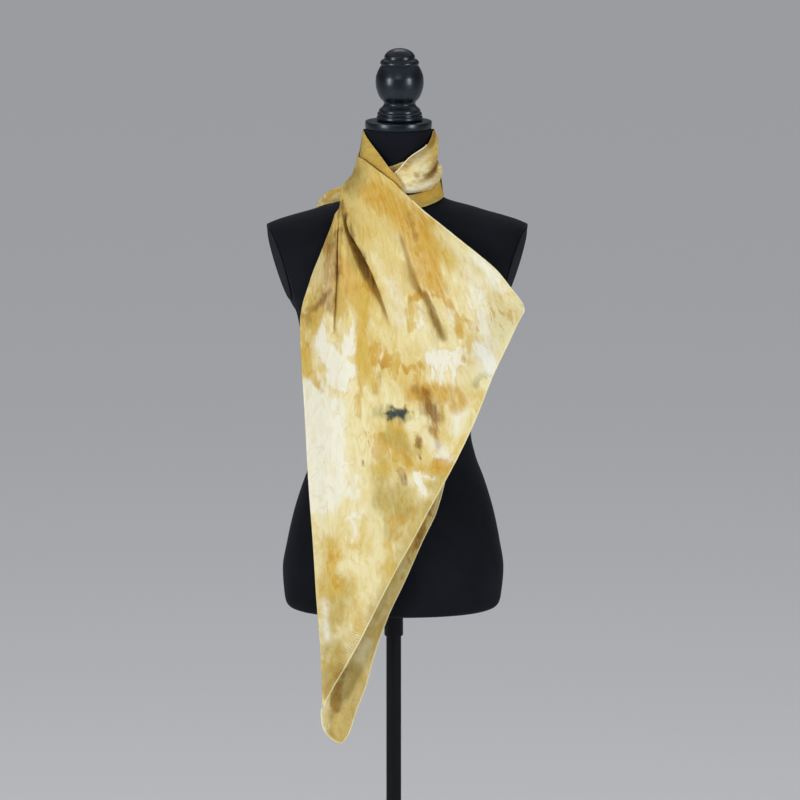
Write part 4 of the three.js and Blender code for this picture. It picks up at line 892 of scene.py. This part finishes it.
tuck_wave = reckon(hem_puckers, "SINE", tuck_turn)
hem_puckers.links.new(reckon(hem_puckers, "MULTIPLY", spread(hem_puckers, tuck_wave, -0.4, 1.0, 0.0, 1.0),
    spread(hem_puckers, uneven.outputs["Fac"], 0.35, 0.62, 0.3, 1.0)), pucker_out.inputs["Tucks"])

silk_colours = {
    "white": (0.84, 0.84, 0.73, 1), "cream": (0.80, 0.73, 0.43, 1), "straw": (0.71, 0.57, 0.22, 1),
    "gold": (0.61, 0.42, 0.075, 1), "amber": (0.58, 0.33, 0.035, 1), "tan": (0.47, 0.35, 0.095, 1),
    "olive": (0.29, 0.20, 0.042, 1), "brown": (0.33, 0.163, 0.016, 1), "umber": (0.175, 0.079, 0.008, 1),
    "moss": (0.26, 0.26, 0.09, 1), "indigo": (0.016, 0.036, 0.055, 1),
}


def stroke_edge(points, strokes):
    """Distance (mm) from each point to the edge of the nearest stroke, negative inside. A stroke runs from
    one place to another (x, z) with a half width at each end."""
    nearest = np.full(len(points), 60.0)
    for x1, z1, x2, z2, wide_1, wide_2 in strokes:
        along = np.array([x2 - x1, z2 - z1], float)
        off = points - np.array([x1, z1])
        t = np.clip(off @ along / max(along @ along, 0.01), 0, 1)
        away = np.linalg.norm(off - t[:, None] * along, axis=1) - (wide_1 + (wide_2 - wide_1) * t)
        nearest = np.minimum(nearest, away)
    return nearest


def lay_strokes(piece, layers):
    """Stores each layer's edge distance on the cloth's points."""
    co = np.array([v.co for v in piece.data.vertices]) * 1000
    for k, (dye, strength, feather, fray, strokes) in enumerate(layers):
        spots = piece.data.attributes.new(f"dye_{k + 1}", "FLOAT", "POINT")
        spots.data.foreach_set("value", stroke_edge(co[:, [0, 2]], strokes).astype(np.float32))


def dyed_silk(name, low, high, layers, paleness=0.0, gathered=True):
    """Silk material: a ground between two dyes, then the layers in the order they were laid, then painted
    shade in hollows and hem tucks and a painted highlight on ridges.
    """
    material, tree, shader = new_material(name, {"Specular IOR Level": 0.22, "Sheen Weight": 0.02,
        "Sheen Roughness": 0.35, "Sheen Tint": (1.0, 0.93, 0.78, 1), "Anisotropic": 0.35})
    coords = add_node(tree, "ShaderNodeTexCoord").outputs["Object"]
    cloth = add_node(tree, "ShaderNodeUVMap", {"uv_map": "cloth"}).outputs[0]
    if gathered:
        way = use_group(tree, fan_way, {"Vector": coords})["Way"]
    else:
        way = add_node(tree, "ShaderNodeMapping", None, {"Vector": coords, "Scale": (70.0, 70.0, 150.0),
            "Rotation": (0, 0.5, 0)}).outputs[0]
    drift = use_group(tree, dye_drift, {"Vector": coords, "Way": way})
    ground = add_node(tree, "ShaderNodeMix", {"data_type": "RGBA"}, {"Factor": spread(tree, drift["Soak"],
        0.36, 0.64, 0.0, 1.0), 6: silk_colours[low], 7: silk_colours[high]})
    colour = ground.outputs[2]
    soak_share = spread(tree, drift["Mottle"], 0.28, 0.62, 0.72, 1.0)
    for k, (dye, strength, feather, fray, strokes) in enumerate(layers):
        edge = add_node(tree, "ShaderNodeAttribute", {"attribute_name": f"dye_{k + 1}"}).outputs["Fac"]
        colour = use_group(tree, stroke_layer, {"Colour": colour, "Dye": silk_colours[dye], "Edge": edge,
            "Drift": drift["Drift"], "Fray": fray, "Feather": feather, "Strength": strength,
            "Soak": soak_share, "Rim": 0.32 if feather < 5 else 0.08})["Color"]
    veined = add_node(tree, "ShaderNodeMix", {"data_type": "RGBA", "blend_type": "MULTIPLY"},
        {"Factor": reckon(tree, "MULTIPLY", drift["Veins"], 0.30), 6: colour, 7: (0.80, 0.62, 0.34, 1)})
    mottled = add_node(tree, "ShaderNodeMix", {"data_type": "RGBA", "blend_type": "MULTIPLY"},
        {"Factor": spread(tree, drift["Mottle"], 0.44, 0.68, 0.0, 0.52), 6: veined.outputs[2],
        7: (0.90, 0.77, 0.48, 1)})
    fibred = add_node(tree, "ShaderNodeMix", {"data_type": "RGBA"}, {"Factor": spread(tree, drift["Fibre"],
        0.50, 0.74, 0.0, 0.14), 6: mottled.outputs[2], 7: silk_colours["cream"]})
    # Painted shade and painted highlight: the colour is darkened where the hollow value puts the cloth in a
    # fold's trough or a band's pocket, and lightened towards cream on ridges and lips.
    hollow = add_node(tree, "ShaderNodeAttribute", {"attribute_name": "hollow"}).outputs["Fac"]
    fold_painted_shade = add_node(tree, "ShaderNodeMix", {"data_type": "RGBA", "blend_type": "MULTIPLY"},
        {"Factor": spread(tree, hollow, 0.16, 1.0, 0.0, 0.82), 6: fibred.outputs[2],
        7: (0.46, 0.33, 0.14, 1)})
    ridge_painted_highlight = add_node(tree, "ShaderNodeMix", {"data_type": "RGBA"}, {"Factor": spread(tree, hollow, -0.9,
        -0.15, 0.08, 0.0), 6: fold_painted_shade.outputs[2], 7: silk_colours["cream"]})
    drawn = add_node(tree, "ShaderNodeAttribute", {"attribute_name": "pucker"}).outputs["Fac"]
    tucks = reckon(tree, "MULTIPLY", use_group(tree, hem_puckers, {"Vector": coords})["Tucks"], drawn)
    # Painted shade: besides their bump, the hem's tucks are darkened in colour where they draw in.
    tuck_painted_shade = add_node(tree, "ShaderNodeMix", {"data_type": "RGBA", "blend_type": "MULTIPLY"},
        {"Factor": reckon(tree, "MULTIPLY", tucks, 0.5), 6: ridge_painted_highlight.outputs[2], 7: (0.62, 0.46, 0.22, 1)})
    lifted = add_node(tree, "ShaderNodeMix", {"data_type": "RGBA"}, {"Factor": paleness,
        6: tuck_painted_shade.outputs[2], 7: silk_colours["cream"]})
    tree.links.new(lifted.outputs[2], shader.inputs["Base Color"])
    surface = use_group(tree, silk_surface, {"Cloth": cloth, "Place": coords})
    tree.links.new(surface["Roughness"], shader.inputs["Roughness"])
    threads = add_node(tree, "ShaderNodeBump", None, {"Height": surface["Threads"], "Strength": 0.10,
        "Distance": 0.0002})
    dented = add_node(tree, "ShaderNodeBump", None, {"Height": surface["Dents"], "Strength": 0.40,
        "Distance": 0.0035, "Normal": threads.outputs["Normal"]})
    pulled = add_node(tree, "ShaderNodeBump", None, {"Height": drift["Mottle"], "Strength": 0.25,
        "Distance": 0.002, "Normal": dented.outputs["Normal"]})
    sewn = add_node(tree, "ShaderNodeBump", {"invert": True}, {"Height": tucks, "Strength": 0.7,
        "Distance": 0.0012, "Normal": pulled.outputs["Normal"]})
    tree.links.new(sewn.outputs["Normal"], shader.inputs["Normal"])
    return material


# Layers on the two hanging halves: colour, strength, feather (mm), how far the edge frays, and the strokes.
# Some strokes are painted shade and painted highlight, as noted below.
fall_layers = [
    ("tan", 0.80, 14, 0.6, [(75, 1010, -20, 800, 24, 22), (9, 985, -5, 940, 24, 22),
    (-18, 1034, -22, 960, 12, 14), (-14, 800, -70, 640, 22, 24), (-80, 850, -88, 700, 20, 16)]),
    ("gold", 0.88, 11, 0.5, [(-75, 1450, -20, 1400, 44, 42), (-64, 1385, -45, 1290, 30, 34),
    (50, 1370, 84, 1330, 22, 14), (-2, 1080, 20, 1040, 20, 20), (-24, 1029, 82, 1029, 9, 12),
    (-92, 910, -90, 850, 13, 15), (-13, 915, -8, 871, 10, 11), (-46, 1290, -42, 1180, 14, 10),
    (-120, 1266, -126, 1190, 15, 10), (-128, 1190, -128, 1160, 9, 8), (-40, 1180, -30, 1150, 10, 8)]),
    ("straw", 0.85, 9, 0.7, [(-60, 1415, -24, 1382, 12, 14), (-24, 1382, -5, 1345, 14, 13),
    # Partly painted highlight: the straw stroke from (-31, 1353), the cream one from (-28, 1335) and the white
    # one from (-4, 1300) run along the crest of the roll right of the pleat, lighter than the pale dye there
    # as if lit.
    (-31, 1353, 8, 1262, 9, 11), (20, 1320, 20, 1290, 8, 10)]), ("cream", 0.85, 9, 0.7,
    [(-28, 1335, -10, 1300, 4, 6), (-97, 1336, -112, 1300, 1.5, 3), (-71, 1128, -63, 981, 36, 32),
    (67, 1370, 132, 1316, 8, 14), (110, 1310, 150, 1210, 22, 26), (98, 1110, 92, 1085, 12, 8),
    (30, 1012, 50, 990, 8, 7), (-27, 952, -20, 900, 12, 10), (-56, 885, -31, 849, 9, 9),
    (-38, 768, -50, 738, 6, 7), (-78, 792, -76, 785, 6, 6), (30, 1240, 60, 1210, 16, 14),
    (-100, 1010, -96, 950, 20, 18), (60, 1160, 110, 1165, 8, 16)]), ("white", 0.86, 8, 0.8,
    [(-118, 1128, -103, 981, 26, 26), (-88, 1110, -84, 1000, 20, 18), (118, 1338, 158, 1290, 6, 8),
    (105, 1330, 118, 1280, 4, 8), (120, 1300, 134, 1209, 7, 10), (-4, 1300, 12, 1243, 5, 6),
    (-101, 824, -97, 775, 5, 4), (60, 1065, 76, 1037, 7, 8), (-60, 960, -56, 930, 9, 8),
    (96, 1104, 92, 1086, 6, 4), (-60, 1010, -56, 990, 7, 7), (128, 1200, 140, 1172, 14, 12)]),
    ("amber", 0.88, 8, 0.4, [(-27, 1429, 16, 1393, 13, 17), (16, 1393, 38, 1356, 17, 21),
    (38, 1356, 56, 1306, 21, 16), (46, 1312, 66, 1290, 18, 12), (30, 1402, 50, 1384, 9, 8),
    (-36, 1424, -16, 1406, 12, 12), (-73, 1326, -60, 1282, 9, 10), (-62, 1296, -26, 1286, 7, 6),
    (30, 1140, 70, 1136, 14, 14), (66, 1030, 86, 1020, 8, 6), (78, 1142, 92, 1116, 8, 7),
    (92, 1140, 100, 1124, 6, 7), (-92, 900, -84, 880, 5, 5)]), ("straw", 0.62, 9, 1.1,
    [(-13, 1262, 20, 1170, 18, 22), (142, 1272, 158, 1245, 4, 5), (98, 1320, 112, 1300, 7, 6),
    (-6, 1320, 10, 1290, 6, 8), (84, 1268, 92, 1215, 5, 5), (-4, 1376, 4, 1352, 8, 8)]),
    ("amber", 0.62, 3, 1.5, [(-24, 1196, -16, 1168, 1, 1.5), (12, 1172, 26, 1166, 1, 3),
    (150, 1262, 158, 1248, 2, 2.5), (-20, 1070, 14, 1050, 8, 8), (10, 960, 0, 930, 5, 5),
    (-95, 890, -80, 860, 5, 5), (118, 1260, 124, 1190, 1.2, 1.5)]), ("tan", 0.72, 8, 0.6,
    [(-90, 1388, -104, 1320, 8, 12), (-104, 1320, -118, 1240, 14, 13), (-66, 1385, -54, 1330, 5, 10),
    (-14, 985, 22, 965, 13, 13), (-85, 753, -88, 702, 16, 14), (-62, 715, -78, 625, 20, 20),
    (-4, 1075, 30, 1052, 12, 9), (40, 1260, 70, 1226, 4, 7), (-60, 1430, -50, 1452, 14, 12)]),
    # Painted shade: the olive strokes from (-92, 1385), (-76, 1392), (-48, 1334), (38, 1290), (48, 1272) and
    # (-72, 724) darken the cloth left of the valley, along the pleat's edge, down the trough and in the tip's
    # fold.
    ("olive", 0.72, 5, 0.4, [(-92, 1385, -94, 1350, 4, 7), (-76, 1392, -48, 1334, 3, 6),
    (-48, 1334, -29, 1296, 6, 3), (38, 1290, 48, 1272, 2, 4), (48, 1272, 72, 1218, 4, 2),
    (-70, 1424, -56, 1450, 4, 5), (-72, 724, -84, 680, 3, 6)]), ("brown", 0.80, 6, 0.55,
    # Painted shade: the brown stroke from (-90, 1340) darkens the cloth left of the valley, and the one from
    # (-76, 722) the fold under the hem inside the tip; the other brown strokes are dye.
    [(-90, 1340, -91, 1262, 8, 13), (-93, 1282, -121, 1244, 10, 9), (-121, 1240, -129, 1205, 8, 4),
    (-84, 1318, -84, 1290, 7, 7), (30, 1143, 50, 1134, 5, 9), (50, 1134, 60, 1100, 11, 8),
    (56, 1108, 64, 1056, 8, 1.5), (-14, 1186, -24, 1140, 2, 1), (20, 1392, 32, 1368, 2, 3),
    (38, 1138, 46, 1112, 6, 7), (-76, 722, -84, 668, 2, 6.5)]), ("white", 0.95, 4.5, 0.5,
    [(-98, 1254, -107, 1205, 0.5, 13), (-56, 1250, -66, 1205, 0.5, 12), (-98, 1193, -70, 1168, 17, 17),
    (-86, 1158, -74, 1150, 14, 12), (60, 1188, 95, 1191, 13, 13), (55, 1194, 102, 1201, 5, 6),
    (72, 1182, 68, 1152, 8, 0.5), (88, 1182, 88, 1146, 8, 0.5), (54, 1190, 58, 1160, 6, 0.5),
    (38, 1256, 41, 1240, 3, 5), (80, 1262, 83, 1246, 3, 4.5), (118, 1208, 132, 1190, 6, 10),
    (132, 1190, 142, 1172, 10, 8), (30, 1018, 58, 1012, 3.5, 4), (35, 1008, 50, 992, 7, 3),
    (104, 1302, 112, 1262, 1, 4), (126, 1290, 122, 1240, 1, 4)]), ("gold", 0.88, 4, 0.5,
    [(-82, 1300, -84, 1220, 9, 0.5), (-110, 1256, -118, 1222, 8, 7), (-46, 1282, -46, 1200, 9, 6.5),
    (-46, 1200, -50, 1104, 6, 1.5), (-132, 1215, -128, 1165, 5, 6), (-128, 1165, -104, 1138, 6, 1.5),
    (99, 1236, 103, 1186, 1.0, 0.6), (28, 1275, 23, 1231, 4, 3), (5, 1196, 2, 1160, 2, 1),
    (-72, 1262, -74, 1246, 5, 3)]), ("amber", 0.80, 3, 0.7, [(-8, 1201, -15, 1180, 1.5, 1),
    (18, 1172, 38, 1179, 3, 7), (23, 1275, 45, 1283, 3, 4), (45, 1283, 76, 1279, 4, 5),
    (76, 1279, 97, 1246, 4, 3), (94, 1246, 98, 1214, 2, 1), (60, 1034, 88, 1030, 3, 5),
    # Painted shade: the amber stroke from (48, 955) and the umber strokes from (57, 968) and (35, 915) lay the
    # shadow beside the front hem on the strip behind; the umber strokes from (-79, 1404), (-84, 1318), (-78,
    # 1406) and (-48, 1336) paint the dark lines of the valley and the pleat's edge, and the one from (9, 1026)
    # a small crease.
    (48, 955, 18, 890, 3, 3)]), ("umber", 0.78, 3.5, 0.5, [(-79, 1404, -84, 1318, 1.4, 2.4),
    (-84, 1318, -87, 1272, 2.4, 2.6), (-78, 1406, -48, 1336, 1.8, 2.2), (57, 968, 35, 915, 0.5, 1.4),
    (35, 915, 10, 860, 1.4, 0.8), (-48, 1336, -30, 1300, 2.2, 0.5), (46, 1142, 54, 1118, 2, 5.5),
    (54, 1118, 60, 1100, 5.5, 2), (30, 1083, 37, 1066, 1, 3), (38, 1062, 27, 1062, 2, 1),
    (9, 1026, 19, 1004, 1, 0.6), (-116, 1256, -90, 1288, 2, 3)]), ("moss", 0.55, 6, 0.6,
    [(128, 1160, 120, 1148, 4, 4), (-20, 1110, 20, 1104, 10, 10)]), ("indigo", 0.95, 2.6, 0.22,
    [(-14, 1109, 4, 1109, 1, 5), (4, 1109, 16, 1112, 6, 5.5), (16, 1112, 28, 1110, 4, 1.2),
    (-3, 1119, 5, 1112, 0.6, 3.5), (17, 1121, 13, 1114, 0.6, 3.5), (-9, 1100, 2, 1106, 0.6, 4),
    (15, 1099, 12, 1106, 0.6, 4), (35, 1050, 39, 1042, 0.8, 1.3), (-43, 1037, -42, 1031, 0.5, 0.5)]),
]
fall_silk = dyed_silk("dyed_silk_fall", "straw", "cream", fall_layers)

# Front half and half behind, one cloth turned over its left fold below the pinch
first_shared = len(neck_rows)
shared_count = len(shared_rows)
silk_fall = cloth_piece(
    "silk_fall", [(panel_grid, False, 0.0), (back_grid, True, -0.004)],
    [((0, [first_shared + j for j in range(shared_count)]), (1, list(range(shared_count))))], silk_wall,
    fall_silk, fall_layers, np.concatenate([((hollow_of(panel_grid, 14) + 0.5 * hollow_of(panel_grid,
    32)) * panel_fold_shade_share).ravel(), np.zeros(back_grid.shape[0] * back_grid.shape[1])]),
    np.concatenate([panel_puckers.ravel(), np.zeros(back_grid.shape[0] * back_grid.shape[1])]),
)
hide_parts("scarf_front_panel", "scarf_back_layer")
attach(silk_fall, "root")


# Hems are rolled under and sewn by hand with tiny stitches a few millimetres apart, so they stand a little
# thicker than the cloth and waver.
hem_radius = 1.1


def rolled_hem(name, path, radius, material, layers, stitch=5.0, sides=8):
    """Rolled edge along a path (mm): a thin tube that dips at each stitch."""
    path = np.array(path, float)
    steps = np.linalg.norm(np.diff(path, axis=0), axis=1)
    run = np.concatenate([[0], np.cumsum(steps)])
    count = max(4, int(run[-1] / 1.9))
    at = np.linspace(0, run[-1], count)
    line = np.stack([np.interp(at, run, path[:, k]) for k in range(3)], axis=1)
    way = np.gradient(line, axis=0)
    way /= np.linalg.norm(way, axis=1)[:, None]
    points, faces = [], []
    for k in range(count):
        level = np.cross(way[k], (0.0, -1.0, 0.15))
        level /= np.linalg.norm(level)
        up = np.cross(level, way[k])
        dip = 1 - 0.16 * (0.5
            + 0.5 * math.cos(2 * math.pi * at[k] / stitch)) + 0.14 * noise.noise(Vector((at[k] / 11, radius,
            2.0)))
        end = 0.45 if k in (0, count - 1) else 1
        for s in range(sides):
            turn = 2 * math.pi * s / sides + 0.4 * math.sin(at[k] / 9)
            r = radius * dip * end
            points.append(tuple((line[k] + level * r * math.cos(turn) * 1.1
                + up * r * math.sin(turn)) / 1000))
    for k in range(count - 1):
        for s in range(sides):
            a, b = k * sides + s, k * sides + (s + 1) % sides
            faces.append((a, b, b + sides, a + sides))
    faces.append(tuple(reversed(range(sides))))
    faces.append(tuple((count - 1) * sides + s for s in range(sides)))
    mesh = bpy.data.meshes.new(name)
    mesh.from_pydata(points, [], faces)
    layer = mesh.uv_layers.new(name="cloth")
    for loop in mesh.loops:
        ring, side = divmod(loop.vertex_index, sides)
        layer.data[loop.index].uv = (side * 0.0008, float(at[ring]) / 1000)
    hem = bpy.data.objects.new(name, mesh)
    bpy.context.scene.collection.objects.link(hem)
    bpy.ops.object.select_all(action="DESELECT")
    bpy.context.view_layer.objects.active = hem
    hem.select_set(True)
    bpy.ops.object.mode_set(mode="EDIT")
    bpy.ops.mesh.select_all(action="SELECT")
    bpy.ops.mesh.normals_make_consistent(inside=False)
    bpy.ops.object.mode_set(mode="OBJECT")
    bpy.ops.object.shade_smooth()
    lay_strokes(hem, layers)
    hem.data.materials.append(material)
    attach(hem, "root")
    return hem


hem_silk = dyed_silk("dyed_silk_hem", "cream", "white", fall_layers, 0.6)
hem_first_row = 24
hem_line = [tuple(row[-1]) for row in panel_grid[hem_first_row:]]
hem_line += [tuple(row[0]) for z, row in zip(back_heights, back_grid) if z < panel_bottom - 3]
hem_line += [tuple(row[-1]) for row in back_grid[::-1]]
fall_hem = rolled_hem("silk_fall_hem", hem_line, hem_radius, hem_silk, fall_layers)


# Round the neck: the cloth comes up under the front half's edge at the left, goes round behind and returns
# on the right as an upper band with a scooped pocket and a lower one. Rows give height and radius of lines
# that run round the neck; turn is in degrees from the front, positive to the left.
left_band = table("turn z1 r1 z2 r2", [
    (-6.5, 1430, 70.5, 1424, 71), (3, 1447.5, 66.5, 1432, 67.5), (14, 1461, 63, 1441, 64),
    (27, 1475.5, 58.5, 1449, 60.5), (43, 1488.5, 55.3, 1455, 58), (60, 1499, 53.7, 1459, 57),
    (74, 1505, 52.4, 1461, 56.8), (88, 1507.5, 51.6, 1463, 57),
])
upper_band = table("turn z1 r1 z2 r2 z3 r3 z4 r4 z5 r5", [
    (-100, 1507.5, 52, 1489, 57.5, 1470.5, 53.6, 1451, 62.5, 1441, 59),
    (-90, 1508.5, 52, 1490, 58, 1470.5, 53.8, 1450, 64.5, 1439.5, 59.5),
    (-75, 1507, 52.2, 1476, 60.5, 1457, 55, 1443, 66, 1434, 61.5),
    (-60, 1499, 55, 1465, 62.5, 1450, 57.5, 1437, 67.5, 1429.5, 63.5),
    (-45, 1489, 57.3, 1457, 63.5, 1444, 60.5, 1432, 68, 1425, 65),
    (-30, 1482, 58.3, 1451, 64.5, 1440, 64, 1429.5, 68.5, 1423.5, 66),
    (-15, 1473, 59.8, 1446, 65.5, 1436.5, 66.5, 1428, 68.5, 1422.5, 66.5),
    (-1, 1457, 62, 1442, 63.5, 1435, 64, 1429, 64.5, 1423.5, 64.5),
    (8, 1448, 61.5, 1439, 61.5, 1433, 61.5, 1427, 61.5, 1421, 61.5),
])
lower_band = table("turn z1 r1 z2 r2 z3 r3", [
    (-100, 1443, 59.0, 1425, 63, 1414, 66.6), (-85, 1442, 59.6, 1424, 63.5, 1412.5, 67.6),
    (-70, 1438, 59.6, 1420, 64.5, 1410.5, 70), (-55, 1428, 60, 1417, 66, 1407.5, 71.5),
    (-40, 1424, 61.4, 1413, 67.5, 1404, 72), (-26, 1421, 62.2, 1409, 68.5, 1401, 73),
    (-12, 1419, 63, 1405, 68.5, 1398, 73),
])
inner_fold = table("turn z1 r1 z2 r2 z3 r3", [
    (-24, 1470, 52, 1459, 52.5, 1448, 53.1), (-14, 1468.5, 52, 1458, 52.6, 1447, 53.3),
    (-4, 1465.5, 52.2, 1456, 53.2, 1446, 53.6), (6, 1462, 52.3, 1453, 53, 1444, 53.6),
    (16, 1459, 52.3, 1451, 53, 1443, 53.6),
])
back_wrap = table("turn z1 r1 z2 r2 z3 r3 z4 r4 z5 r5", [
    (88, 1507.5, 51.6, 1470, 57.8, 1452, 64.4, 1430, 80, 1402, 84),
    (104, 1507, 51.8, 1482, 55, 1464, 58.6, 1447, 64, 1428, 72), (122, 1505, 53, 1481, 57, 1460, 59.5, 1441,
    67, 1426, 72), (145, 1501, 54, 1478, 62, 1456, 61, 1433, 70.5, 1412, 73),
    (175, 1498, 54.5, 1476, 63, 1455, 60, 1431, 70, 1408, 72), (210, 1500, 54, 1479, 62, 1458, 58.5, 1433,
    69, 1409, 72), (240, 1505, 53, 1484, 58.5, 1464, 55.5, 1441, 64, 1412, 69),
    (259.4, 1507.5, 52, 1488, 57, 1467, 54.5, 1447, 62.5, 1414, 67.6),
])


def band_grid(rows, lines, across, down):
    """Grid on a band: rows run round the neck, columns from its first line to its last."""
    turns = np.linspace(rows["turn"][0], rows["turn"][-1], across + 1)
    grid = np.zeros((down + 1, across + 1, 3))
    share = np.arange(down + 1) / down
    for i, turn in enumerate(turns):
        z_line = {"at": np.arange(lines) / (lines - 1), "v": np.array([float(smooth(rows, "turn", f"z{k}",
            turn)) for k in range(1, lines + 1)])}
        r_line = {"at": z_line["at"], "v": np.array([float(smooth(rows, "turn", f"r{k}",
            turn)) for k in range(1, lines + 1)])}
        z, r = smooth(z_line, "at", "v", share), smooth(r_line, "at", "v", share)
        angle = math.radians(turn)
        grid[:, i] = np.stack([middle(z) - r * math.sin(angle), -r * math.cos(angle), z], axis=1)
    return grid


neck_layers = [
    ("gold", 0.85, 6, 0.3, [(62, 1505, 58, 1470, 9, 9), (30, 1462, 24, 1452, 5, 5),
    (66, 1440, 40, 1426, 6, 3), (-60, 1480, -60, 1410, 10, 10), (-100, 1415, -60, 1420, 10, 12)]),
    ("cream", 0.7, 6, 0.3, [(46, 1478, 18, 1440, 6, 10), (8, 1452, 30, 1446, 7, 8)]),
    # Painted shade and painted highlight: the amber stroke from (40, 1415) darkens the upper part of the lower
    # band, the brown strokes from (63, 1468) and (59, 1450) the inside of the upper band's pocket, and the
    # white strokes from (20, 1425) and (46, 1432) light its lower lip; the other strokes are dye.
    ("amber", 0.85, 6, 0.3, [(-22, 1466, 4, 1436, 5, 8), (2, 1464, 8, 1458, 4, 4),
    (-60, 1402, -100, 1400, 5, 5), (40, 1415, 66, 1420, 7, 5)]), ("olive", 0.60, 6, 0.3,
    [(-56, 1500, -52, 1462, 7, 7), (-112, 1395, -70, 1404, 3, 4), (20, 1400, 66, 1410, 2, 3)]),
    ("brown", 0.88, 3.5, 0.2, [(63, 1468, 59, 1450, 4, 5), (59, 1450, 46, 1447, 4, 2),
    (30, 1452, 34, 1447, 1, 2), (-6, 1442, 6, 1434, 2, 2)]), ("white", 0.70, 5, 0.2,
    [(20, 1425, 46, 1432, 5, 4), (46, 1432, 62, 1441, 4, 2), (40, 1488, 30, 1468, 2, 3)]),
]
neck_pale = dyed_silk("dyed_silk_neck_pale", "tan", "cream", neck_layers, gathered=False)
neck_gold = dyed_silk("dyed_silk_neck_gold", "tan", "gold", neck_layers[:4], gathered=False)


# Its values drive the painted shade in a band's pockets and the painted highlight on its lips.
def band_hollows(grid):
    """How far each point of a band lies in from the cloth above and below it: 1 in a pocket, -1 on a lip."""
    radius = np.hypot(grid[:, :, 0] - middle(grid[:, :, 2]), grid[:, :, 1])
    rows = grid.shape[0]
    reach = np.exp(-((np.subtract.outer(np.arange(rows), np.arange(rows)) / (rows * 0.22)) ** 2))
    around = (reach / reach.sum(axis=1, keepdims=True)) @ radius
    return np.clip((around - radius) / 2.2, -1, 1).ravel()


def seat_piece(piece, node):
    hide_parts(node)
    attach(piece, "root")


left_grid = band_grid(left_band, 2, 70, 20)
silk_neck_left = cloth_piece("silk_neck_left", [(left_grid, True, 0.0)], [], silk_wall, neck_gold,
    neck_layers[:4])
seat_piece(silk_neck_left, "scarf_neck_band_left")
left_hem_radius = 0.8
left_hem = rolled_hem("silk_neck_left_hem", left_grid[0], left_hem_radius, neck_gold, neck_layers[:4])

upper_grid = band_grid(upper_band, 5, 90, 46)
silk_neck_upper = cloth_piece("silk_neck_upper", [(upper_grid, True, 0.0)], [], silk_wall, neck_pale,
    neck_layers, band_hollows(upper_grid))
seat_piece(silk_neck_upper, "scarf_neck_band_right")
upper_hem_radius, upper_hem_first = 0.9, 44
upper_hem = rolled_hem("silk_neck_upper_hem", upper_grid[0][upper_hem_first:], upper_hem_radius, hem_silk,
    fall_layers)

lower_grid = band_grid(lower_band, 3, 64, 18)
silk_neck_lower = cloth_piece("silk_neck_lower", [(lower_grid, True, 0.0)], [], silk_wall, neck_gold,
    neck_layers[:4])
seat_piece(silk_neck_lower, "scarf_neck_band_lower")

inner_grid = band_grid(inner_fold, 3, 30, 14)
silk_neck_inner = cloth_piece("silk_neck_inner", [(inner_grid, True, 0.0)], [], silk_wall, neck_pale,
    neck_layers)
seat_piece(silk_neck_inner, "scarf_inner_fold")

# The wrap behind the neck: the same silk, gathered round the neck and held by its own turn. Its left end is
# drawn to the front half's rim below and to the left band above.
wrap_gap, band_gap, wrap_pull_ends = 0.8, 0.6, 0.3
wrap_grid = band_grid(back_wrap, 5, 120, 44)
for j in range(wrap_grid.shape[0]):
    end = wrap_grid[j, 0].copy()
    on_panel = end[2] < panel_top
    rim_x = float(smooth(panel_rows, "z", "left", end[2])) if on_panel else end[0]
    rim_y = -float(smooth(panel_rows, "z", "d_left", end[2])) + wrap_gap if on_panel else end[1] + band_gap
    pull = np.array([rim_x, rim_y, end[2]]) - end
    share = np.arange(wrap_grid.shape[1]) / (wrap_grid.shape[1] - 1)
    wrap_grid[j] += pull * (1 - ease(share / wrap_pull_ends))[:, None]
silk_neck_wrap = cloth_piece("silk_neck_wrap", [(wrap_grid, False, 0.0)], [], silk_wall, neck_gold,
    neck_layers[:4], band_hollows(wrap_grid))
seat_piece(silk_neck_wrap, "scarf_neck_wrap_back")

# The short end left over from the wrap: the same silk, folded over the left shoulder. Its root is tucked
# under the wrap, and nothing else holds it.
tail_rows = table("x top middle_y front back drop", [
    (-53, 1434, 19, 14, 16, 7), (-60, 1430, 20, 13, 15, 11), (-68, 1425, 21.5, 12, 13.5, 16),
    (-76, 1421, 22.5, 10, 12, 22), (-86, 1418, 23.5, 10.5, 12.5, 24), (-96, 1412, 25, 10, 12, 21),
    (-103.5, 1406, 26.5, 9, 10.5, 17), (-109, 1400.5, 28, 7, 8, 12), (-113, 1395.5, 29, 4.5, 5, 6),
])
tail_clear = 0.95
tail_root, tail_tip, tail_steps, tail_columns, tail_droop = -53, -113, 38, 24, 1.7
shoulder_low, shoulder_high, shoulder_near = 1330.0, 1440.0, 0.05


def shoulder_top(x, y):
    """Height of the form's shoulder over a point."""
    side = "front" if y < 0 else "back"
    low, high = shoulder_low, shoulder_high
    while high - low > shoulder_near:
        z = (low + high) / 2
        half, depth, square = (float(smooth(form_sections, "z", c, z)) for c in ("half", side, "square"))
        out = abs(x - middle(z)) / half
        here = 0 if out >= 1 else depth * (1 - out**square) ** (1 / square)
        low, high = (z, high) if here > abs(y) else (low, z)
    return low


tail_grid = np.zeros((tail_steps + 1, tail_columns + 1, 3))
for j, x in enumerate(np.linspace(tail_root, tail_tip, tail_steps + 1)):
    top, middle_y, front, back, drop = (
        float(smooth(tail_rows, "x", column, x)) for column in ("top", "middle_y", "front", "back", "drop"))
    for i in range(tail_columns + 1):
        way = (i / tail_columns - 0.5) * 2
        y = middle_y + (way * front if way < 0 else way * back)
        z = max(top - drop * abs(way) ** tail_droop, shoulder_top(x, y) + tail_clear)
        tail_grid[j, i] = (x, y, z)
silk_tail = cloth_piece("silk_tail", [(tail_grid, False, 0.0)], [], silk_wall, neck_pale, neck_layers)
seat_piece(silk_tail, "scarf_tail_end")
